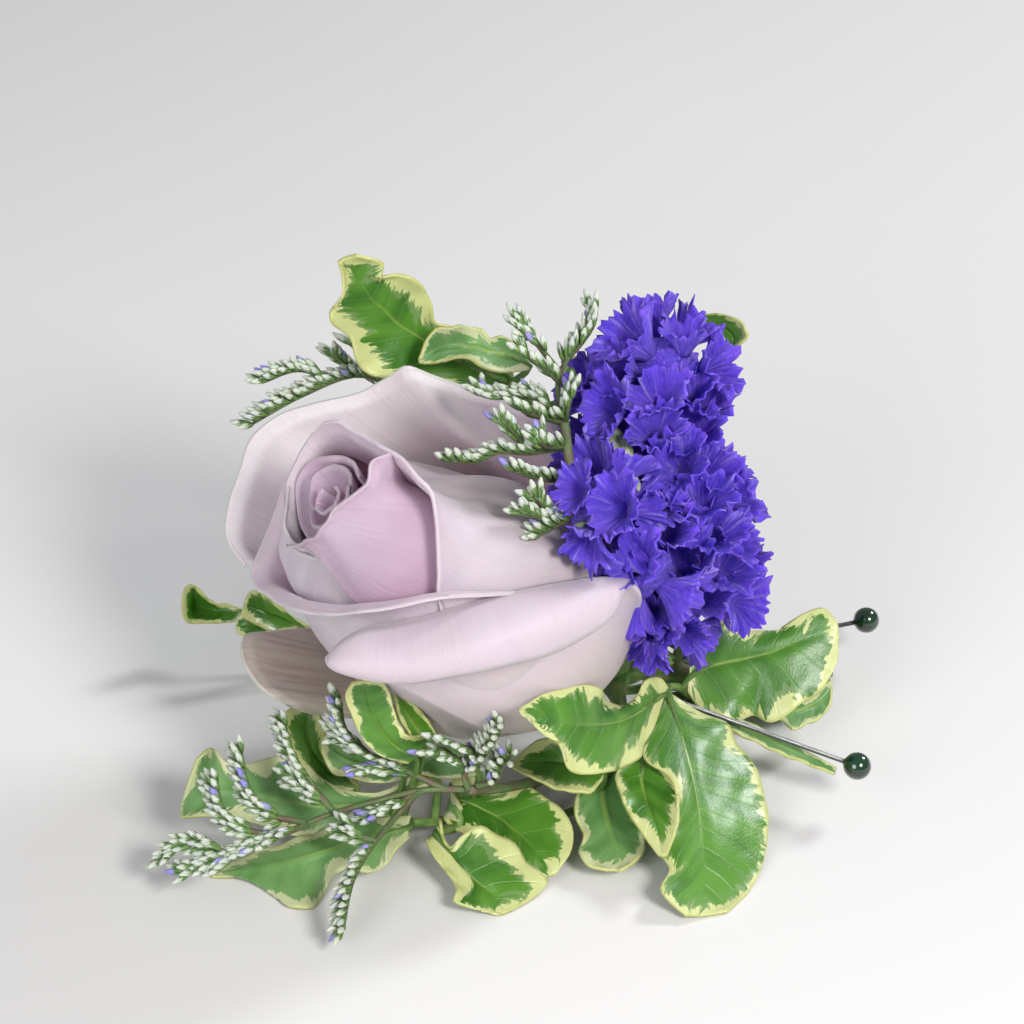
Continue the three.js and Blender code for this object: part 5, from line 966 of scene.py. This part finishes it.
FRONT_BRANCHLETS = [
    ([(-6, -43.6, 11.9), (-12.5, -43.4, 11.5), (-20, -45, 10.5), (-26.9, -47.2, 9.5), (-33.7, -50.4, 8),
        (-41.1, -52.8, 6.5)], 0.75),
    ([(-24.8, -46, 10), (-27, -44.5, 11.5), (-30.3, -42.4, 13)], 0.2),
    ([(-24.8, -46, 10), (-27.6, -43.6, 12.5), (-30.3, -40.8, 15.5), (-31.8, -37, 18.5)], 0.35),
    ([(-28.5, -48, 9.5), (-33.2, -48.2, 11), (-36.2, -46.2, 13.5), (-37.6, -41, 16.5)], 0.2),
    ([(-32.7, -49.8, 8.4), (-37.5, -49.5, 10), (-39.9, -47.8, 12), (-40.8, -45.3, 14.5)], 0.2),
    ([(-38.4, -52, 7.1), (-42.9, -50.2, 7.5), (-46.2, -49.8, 6.5), (-47.7, -51.1, 5.5)], 0.1),
    ([(-39.8, -52.6, 6.7), (-43.3, -53, 5.5), (-44.9, -53.3, 5)], 0.1),
    ([(-28.2, -48, 9.2), (-32.1, -50.4, 9), (-36.4, -51.4, 7.5), (-40, -53.6, 6)], 0.15),
    ([(-12.5, -43.4, 11.5), (-17.8, -45.6, 9.6), (-20, -46.4, 9)], 0.3),
    ([(-13, -43.5, 11.4), (-15.1, -45.6, 10), (-19.2, -51.3, 8), (-21.7, -56.4, 6), (-22.8, -63.2, 3)], 0.42),
    ([(-18.7, -50.8, 8.3), (-21.4, -49.7, 8.8), (-23.1, -48.3, 9)], 0.2),
    ([(-9, -43.6, 11.7), (-12.5, -42, 12.5), (-16.7, -42, 15), (-20.9, -42.4, 18), (-23.1, -41.5, 21),
        (-23.5, -41, 25)], 0.25),
    ([(-15.7, -42, 14), (-17.8, -42.6, 14.5), (-21, -43.7, 15)], 0.1),
    ([(-19.9, -42.4, 17), (-22.1, -41, 18.5), (-24.3, -40.3, 19)], 0.1),
    ([(-6, -44, 12), (-6.6, -43, 14), (-5, -43.4, 16), (-3, -45, 20), (-1.3, -46.4, 25)], 0.2),
    ([(-5.6, -43.3, 15), (-8.6, -44, 18), (-11.5, -45, 19)], 0.1),
    ([(-4.3, -44.2, 18), (-7, -44.6, 20), (-9.6, -45, 21.5)], 0.1),
    ([(-5, -43.6, 12.4), (-2.1, -43.6, 13.5), (-1.4, -43.4, 16), (0, -44, 18)], 0.2),
]
TOP_BRANCHLETS = [
    ([(6.8, -21, 59), (6.3, -17.5, 61.7), (7.3, -15.5, 63.9), (9.7, -13, 65.7), (11.4, -11, 67.7),
        (11.3, -9.4, 69)], 0.45),
    ([(6.8, -18, 62), (4.6, -18, 64.3), (2.7, -18, 65.7), (1.5, -17.5, 67)], 0.1),
    ([(6.5, -16.5, 63), (3.5, -16, 67), (2, -15, 68.4), (0.9, -14, 69.4)], 0.4),
    ([(6.8, -20.5, 59), (3.1, -19, 60.4), (0.2, -18, 59.9), (-2.8, -17, 59.3), (-4.4, -16, 60)], 0.1),
    ([(6.9, -21.6, 57.9), (3.4, -24, 60.4), (1.3, -24.5, 61.7)], 0.1),
    ([(7.1, -22, 57.4), (7.6, -22.6, 60.6), (8.3, -21, 62.8)], 0.2),
    ([(7.7, -24.5, 55.8), (2, -27, 56.3), (-1.6, -28, 57.1), (-5.2, -29.5, 56.3), (-8.2, -31, 57.6)], 0.2),
    ([(2.7, -27, 56.3), (0.9, -27, 58.8), (-1.1, -27, 61.3)], 0.2),
    ([(7.7, -24.5, 55.8), (4.3, -28, 58.1), (3.6, -28, 59.8)], 0.2),
    ([(8.8, -28.5, 52.4), (3.1, -31, 54.9), (0.5, -32, 56.5)], 0.3),
    ([(10.5, -30.2, 49), (5.2, -34, 50.8), (3, -36, 55)], 0.3),
    ([(10.5, -30.2, 49), (4.8, -35, 50.6), (1.4, -37.5, 53.5)], 0.3),
    ([(10.5, -30.2, 49), (5.2, -35, 49.3), (3, -37, 48.9)], 0.3),
]
BACK_BRANCHLETS = [
    ([(-15, 6, 46.4), (-22, 4, 51), (-30, 0, 50), (-38, -2, 46)], 0.15),
    ([(-26, 2, 51.5), (-31, 2, 53), (-36, 1, 51.5)], 0.1),
    ([(-10, 7, 42.8), (-20, 7, 48), (-26, 5, 54)], 0.3),
    ([(-17, 6, 48), (-20, 5, 53), (-23, 4, 56)], 0.2),
]
caspia("caspia_front", 160, [(20.5, -18, 3.6), (13, -28, 4.8), (3, -37, 8.2), (-2, -41, 10), (-6, -44, 12)],
       FRONT_BRANCHLETS, Vector((-0.9, -0.25, 0.35)), 7)
caspia("caspia_top", 40, [(24.5, -15.5, 13), (24, -20.5, 21), (20, -28, 34), (13.5, -31.5, 45),
                          (8.5, -28.5, 53), (7, -21, 59)],
       TOP_BRANCHLETS, Vector((-0.5, 0.25, 0.83)), 11)
caspia("caspia_back", 280, [(20, -5, 10), (10, 3, 24), (-4, 8, 38), (-16, 6, 47)],
       BACK_BRANCHLETS, Vector((-0.5, 0.1, 0.86)), 5)


# Statice: crinkled funnels set all over a core of overlapping balls, each a centre and a radius

STATICE_CORE = [(20.5, -11, 60.5, 5), (17.5, -14, 54.5, 6.5), (17.5, -18, 47.5, 7.5), (22.5, -17, 41, 7.5),
                (26, -17, 33.5, 6.5), (21.5, -22.5, 27.5, 5), (12, -31, 49.5, 4.5), (17.5, -29.5, 39.5, 4.5)]

# The florets in front: foot, middle of the mouth, width
FLORETS = [
    ((19.1, -13.3, 63.9), (15.2, -14.5, 68.6), 8.4), ((23.8, -12.3, 63.3), (24, -12.5, 68.2), 6),
    ((25.8, -11, 59.5), (29.5, -13.5, 62.4), 7), ((17.3, -14, 60.9), (13.7, -17.1, 63.9), 6.8),
    ((15.8, -18.5, 57.6), (12.4, -22.3, 61.4), 7.6), ((20.4, -18.1, 57.4), (19.5, -21.1, 62.8), 7.8),
    ((23.9, -13.6, 55.3), (23.6, -16.4, 61.2), 7.4), ((25.8, -13.5, 54.7), (26.9, -16.6, 59.2), 6.6),
    ((19.6, -20.2, 53.8), (19.4, -24.5, 59), 7), ((24.4, -15.7, 50.6), (24.5, -19.7, 56.2), 8.2),
    ((12.2, -24.2, 50.6), (10, -27.3, 54.6), 8.6), ((23.8, -20.9, 49.4), (22.5, -25.4, 54), 8.4),
    ((26.8, -17.3, 46.7), (28.3, -20.8, 50.4), 6.8), ((10.1, -31.8, 52.9), (8, -34.3, 55.3), 6),
    ((15.5, -32.7, 50.7), (13.4, -37, 54.4), 8), ((26.2, -21.9, 44), (26.2, -26.1, 49.3), 8),
    ((15.8, -28.6, 42.6), (13.4, -32.8, 45.6), 7.6), ((20.6, -25.6, 40.7), (19.8, -29.9, 46.4), 8.6),
    ((27.3, -21.7, 38.4), (27.8, -25.8, 43.7), 8), ((29.8, -19.7, 37.1), (32.1, -22.6, 40.1), 6.4),
    ((17.5, -32.6, 41.5), (16.3, -37.3, 45.7), 7.2), ((24.1, -22.5, 33.9), (23.5, -26.9, 39.5), 8.2),
    ((29.4, -21.9, 32.9), (30.2, -25.8, 36.8), 7.4), ((20.1, -24.3, 31.1), (19.8, -30, 35), 7.8),
    ((26.2, -22.5, 28.8), (26.5, -27.1, 33.3), 7.6), ((31.6, -20.3, 27.9), (33.4, -23.7, 29.9), 7.6),
    ((20.1, -26.5, 28.2), (19.8, -31.8, 31.7), 7.2), ((20, -26.1, 25), (18.9, -31.4, 25.7), 5.6),
    ((23.7, -26.3, 27.4), (24.1, -31.4, 29.4), 5.4), ((32.5, -17.2, 33.3), (33.4, -20.6, 34.3), 5.4),
]
EYED = (24, 27)  # the numbers of the florets whose brown eye shows
FRONT_WIDER = 1.12  # how much wider the florets in front are than their table says
UPPER_FROM = 45  # the height at which the upper half begins
FLORET_RINGS, FLORET_SIDES = 7, 60

# The pale winged stems that show between the florets: their lines and half widths
WINGED_STEMS = [
    ([(15.6, -27, 50.5), (15.1, -26.4, 53.3), (15.3, -24.7, 55), (14, -22, 56), (13.4, -19.5, 56)], 1.5),
    ([(15.2, -25.3, 54.1), (16.6, -27.2, 52.5), (17.4, -26.5, 50.5)], 1.2),
    ([(15.1, -25.5, 54), (13.8, -26.8, 52.9), (13, -27, 51)], 1),
    ([(11.6, -31.6, 48), (9.8, -33.4, 48.9), (8.8, -34.4, 49)], 1.9),
]
STATICE_GAP, GAP_RADIUS = Vector((15.3, -23, 52.8)), 4.6
TO_CAMERA = Vector((0, -0.85, 0.53))
OFF_CAMERA = Vector((0.1, -0.85, 0.53))  # faced by no floret, so that each has a sideways direction
SPOTS_PER_BALL, GOLDEN_ANGLE = 60, 2.399963


def floret(bm, foot, mouth, width, number):
    """Adds a papery funnel whose pleats crumple towards its ragged rim."""
    sheet, rise, _ = marks_of(bm)
    ring = bmesh.ops.create_circle(bm, cap_ends=True, segments=FLORET_SIDES, radius=1)["verts"]
    rings = [ring]
    edges = list(ring[0].link_faces[0].edges)
    for _ in range(FLORET_RINGS):
        made = bmesh.ops.extrude_edge_only(bm, edges=edges)["geom"]
        edges = [edge for edge in those(made, bmesh.types.BMEdge) if len(edge.link_faces) == 1]
        rings.append(those(made, bmesh.types.BMVert))
    forward = (mouth - foot).normalized()
    wide = forward.cross(OFF_CAMERA).normalized()
    turned = Matrix((wide, forward.cross(wide), forward)).transposed().to_4x4()
    length = (mouth - foot).length
    for k, verts in enumerate(rings):
        t = k / FLORET_RINGS
        for vert in verts:
            angle = math.atan2(vert.co.y, vert.co.x)
            spot = Vector((math.cos(angle) * 1.3, math.sin(angle) * 1.3, number * 2.7))
            pleat = 0.35 * math.sin(15 * angle + number + 5 * noise.noise(spot))
            pleat += 1.5 * noise.noise(spot * 2.3) + 0.9 * noise.noise(spot * 5.5)
            ragged = 0.1 * t * math.cos(5 * angle + number) + 0.42 * t ** 3 * noise.noise(spot * 6)
            radius = width / 2 * (0.24 + 0.84 * t) * (1 + ragged) + 0.35 * pleat * t
            height = length * (t ** 0.8 + 0.3 * t ** 3 * noise.noise(spot * 4)) + 0.75 * pleat * t
            vert[sheet] = (angle * 3, t * 5, number)
            vert[rise] = t if number in EYED else 0.35 + 0.65 * t
            vert.co = Vector((radius * math.cos(angle), 0.75 * radius * math.sin(angle), height))
    bmesh.ops.transform(bm, matrix=Matrix.Translation(foot) @ turned, verts=sum(rings, []))


def inside_rose(point, margin):
    local = point - ROSE_BASE
    height = local.dot(ROSE_AXIS)
    away = math.sqrt(max(0, local.length_squared - height ** 2))
    return height > -2 and away < outline_at(BODY, max(0, height)) + margin


def statice_spots():
    """Places all over the flower head, with the way out from each."""
    for ball, (x, y, z, r) in enumerate(STATICE_CORE):
        for i in range(SPOTS_PER_BALL):
            up = 1 - 2 * (i + 0.5) / SPOTS_PER_BALL
            turn = i * GOLDEN_ANGLE + ball
            flat = math.sqrt(1 - up * up)
            direction = Vector((flat * math.cos(turn), flat * math.sin(turn), up))
            at = Vector((x, y, z)) + direction * r
            buried = any(other != ball and (at - Vector((a, b, c))).length < q + 0.3
                         for other, (a, b, c, q) in enumerate(STATICE_CORE))
            bare = (at - STATICE_GAP).length < GAP_RADIUS
            if not (buried or bare or inside_rose(at, 1)):
                yield at, direction


def statice_branch():
    bm = bmesh.new()
    for line, size in WINGED_STEMS:
        stalk(bm, line, size, size * 0.8, 12, 12, len(line), 0.35)
    finished("statice_branch", bm, [PALE_STEM], ["statice_bloom"])


def statice_florets():
    """The florets in front from their table, then others wherever none is near, and more behind."""
    halves = {"upper": bmesh.new(), "lower": bmesh.new()}
    spots = []

    def add_floret(spot, foot, mouth, width):
        spots.append(spot)
        floret(halves["upper" if spot.z > UPPER_FROM else "lower"], foot, mouth, width, len(spots))

    for foot, mouth, width in FLORETS:
        add_floret(Vector(foot), Vector(foot), Vector(mouth), width * FRONT_WIDER)
    for apart, facing in ((5.2, 1), (4.1, 0.15)):
        for at, direction in statice_spots():
            crowded = any((spot - at).length < apart for spot in spots)
            if not crowded and direction.dot(TO_CAMERA) <= facing:
                tilted = (direction + Vector((0, 0, 0.25))).normalized()
                width = 7.6 + 0.8 * math.sin(3 * (len(spots) + 1))
                add_floret(at, at - direction * 0.8, at + tilted * 4.4, width)
    for name, bm in halves.items():
        finished("statice_" + name, bm, [STATICE], ["statice_bloom"], 0.18)


def statice_core():
    """Overlapping uneven balls, which fill the flower head under its florets."""
    bm = bmesh.new()
    sheet, rise, _ = marks_of(bm)
    for x, y, z, r in STATICE_CORE:
        made = bmesh.ops.create_icosphere(bm, subdivisions=3, radius=r * 0.92,
                                          matrix=Matrix.Translation((x, y, z)))["verts"]
        for vert in made:
            vert.co += vert.normal * noise.noise(vert.co * 0.6) * 1.2
            vert[sheet] = vert.co
            vert[rise] = 0.6
    finished("statice_core", bm, [STATICE], ["statice_bloom"])


def statice_stem():
    bm = bmesh.new()
    stalk(bm, sprig_line(0, [(25, -12.5, 14), (26, -15, 21), (26, -16.5, 30)]), 0.8, 0.75, 10, 60)
    finished("statice_stem", bm, [STEM], ["statice_stem"])


statice_branch()
statice_florets()
statice_core()
statice_stem()


# Tape and pins

TAPE_TURNS, TAPE_RADIUS, TAPE_LIFT = 4.5, 4.3, 0.32
PIN_RADIUS, PIN_LENGTH = 0.35, 34

# The round head's outline as distance and height, with a small collar on the shaft's side
PIN_HEAD = [(0, -2.0), (0.5, -1.94), (1.0, -1.73), (1.45, -1.38), (1.75, -0.97), (1.94, -0.48), (2.0, 0),
            (1.94, 0.48), (1.75, 0.97), (1.45, 1.38), (1.0, 1.73), (0.6, 1.9), (0.55, 2.0), (0, 2.0)]


def stem_tape():
    """Crepe tape wound round the stems in overlapping turns, each lifted by the one before."""
    bm = bmesh.new()
    rings, sides = 110, 48
    path = even_line(AXIS[8:63], rings)

    def wrap(u, v):
        angle = math.pi * u
        k = v * rings
        i = min(int(k), rings - 1)
        at = path[i].lerp(path[i + 1], k - i)
        forward = (path[i + 1] - path[i]).normalized()
        up = (UP - forward * forward.z).normalized()
        side = up.cross(forward)
        turn = (v * TAPE_TURNS + angle / math.tau) % 1
        radius = TAPE_RADIUS + TAPE_LIFT * turn + 0.06 * noise.noise(Vector((angle * 2, v * 40, 1)))
        return at + (up * math.cos(angle) + side * math.sin(angle)) * radius

    def way_to_edge(u, v):
        return (1 - (v * TAPE_TURNS + u / 2) % 1) * 4

    blade(bm, wrap, sides, rings, 14, 24, 1, way_to_edge)
    bmesh.ops.remove_doubles(bm, verts=bm.verts, dist=0.02)
    bmesh.ops.recalc_face_normals(bm, faces=bm.faces)
    finished("stem_tape", bm, [TAPE], ["stem_tape"], 0.3)


def pin(number, head, aim):
    """A wire shaft with a ground point, and the round head that it is stuck in."""
    direction = (aim - head).normalized()
    bm = bmesh.new()
    wire = [head + direction * way for way in (0.9, 17, PIN_LENGTH - 1.5)]
    point = [head + direction * way for way in (PIN_LENGTH - 1.6, PIN_LENGTH - 0.8, PIN_LENGTH)]
    stalk(bm, wire, PIN_RADIUS, PIN_RADIUS, 16, 24)
    stalk(bm, point, PIN_RADIUS, 0.06, 16, 4)
    finished(f"pin_{number}_shaft", bm, [STEEL], [f"pin_{number}_shaft"])
    bm = bmesh.new()
    turned_shape(bm, PIN_HEAD, 40)
    bmesh.ops.transform(bm, matrix=Matrix.Translation(head) @ turn_between(UP, direction), verts=bm.verts)
    finished(f"pin_{number}_head", bm, [BEAD], [f"pin_{number}_head"])


stem_tape()
for number, (head, aim) in enumerate(zip(PIN_HEADS, PIN_AIMS), 1):
    pin(number, head, aim)


# Floor, light and camera, in metres

LAMP_AIM = Vector((0, 0, 0.03))
CAMERA_TILT, CAMERA_AWAY = 32, 0.442


def floor():
    bm = bmesh.new()
    bmesh.ops.create_grid(bm, x_segments=1, y_segments=1, size=3)
    finish, tree, surface = start_finish("table_paint", Roughness=0.85, Specular_IOR_Level=0.2)
    place = add(tree, "TexCoord", {}).outputs["Object"]
    shade(tree, surface, tint(tree, grain(tree, place, 6, 2), (0.74, 0.73, 0.71, 1), (0.78, 0.77, 0.75, 1)))
    meshed("table", bm, [finish])


def lamp(name, at, size, power, colour):
    light = bpy.data.lights.new(name, "AREA")
    light.shape = "DISK"
    light.size = size
    light.energy = power
    light.color = colour
    made = in_scene(name, light)
    made.location = at
    made.rotation_euler = (LAMP_AIM - Vector(at)).to_track_quat("-Z", "Y").to_euler()


def sky():
    world = bpy.data.worlds.new("studio")
    world.use_nodes = True
    inputs = world.node_tree.nodes["Background"].inputs
    inputs["Color"].default_value = (0.9, 0.93, 1, 1)
    inputs["Strength"].default_value = 0.3
    bpy.context.scene.world = world


def camera():
    tilt = math.radians(CAMERA_TILT)
    view = bpy.data.cameras.new("camera")
    view.lens = 105
    view.sensor_width = 36
    eye = in_scene("camera", view)
    eye.location = PLACE @ Vector((0, 0, 30)) + Vector((0, -math.cos(tilt), math.sin(tilt))) * CAMERA_AWAY
    eye.rotation_euler = (math.pi / 2 - tilt, 0, 0)
    bpy.context.scene.camera = eye


floor()
lamp("key", (0.36, -0.5, 0.5), 0.25, 4.8, (1, 0.98, 0.96))
lamp("fill", (-0.4, -0.6, 0.35), 0.5, 3, (0.96, 0.97, 1))
lamp("rim", (0.62, 0.43, 0.6), 0.2, 4, (0.95, 0.97, 1))
sky()
camera()
bpy.context.scene.view_settings.view_transform = "Standard"
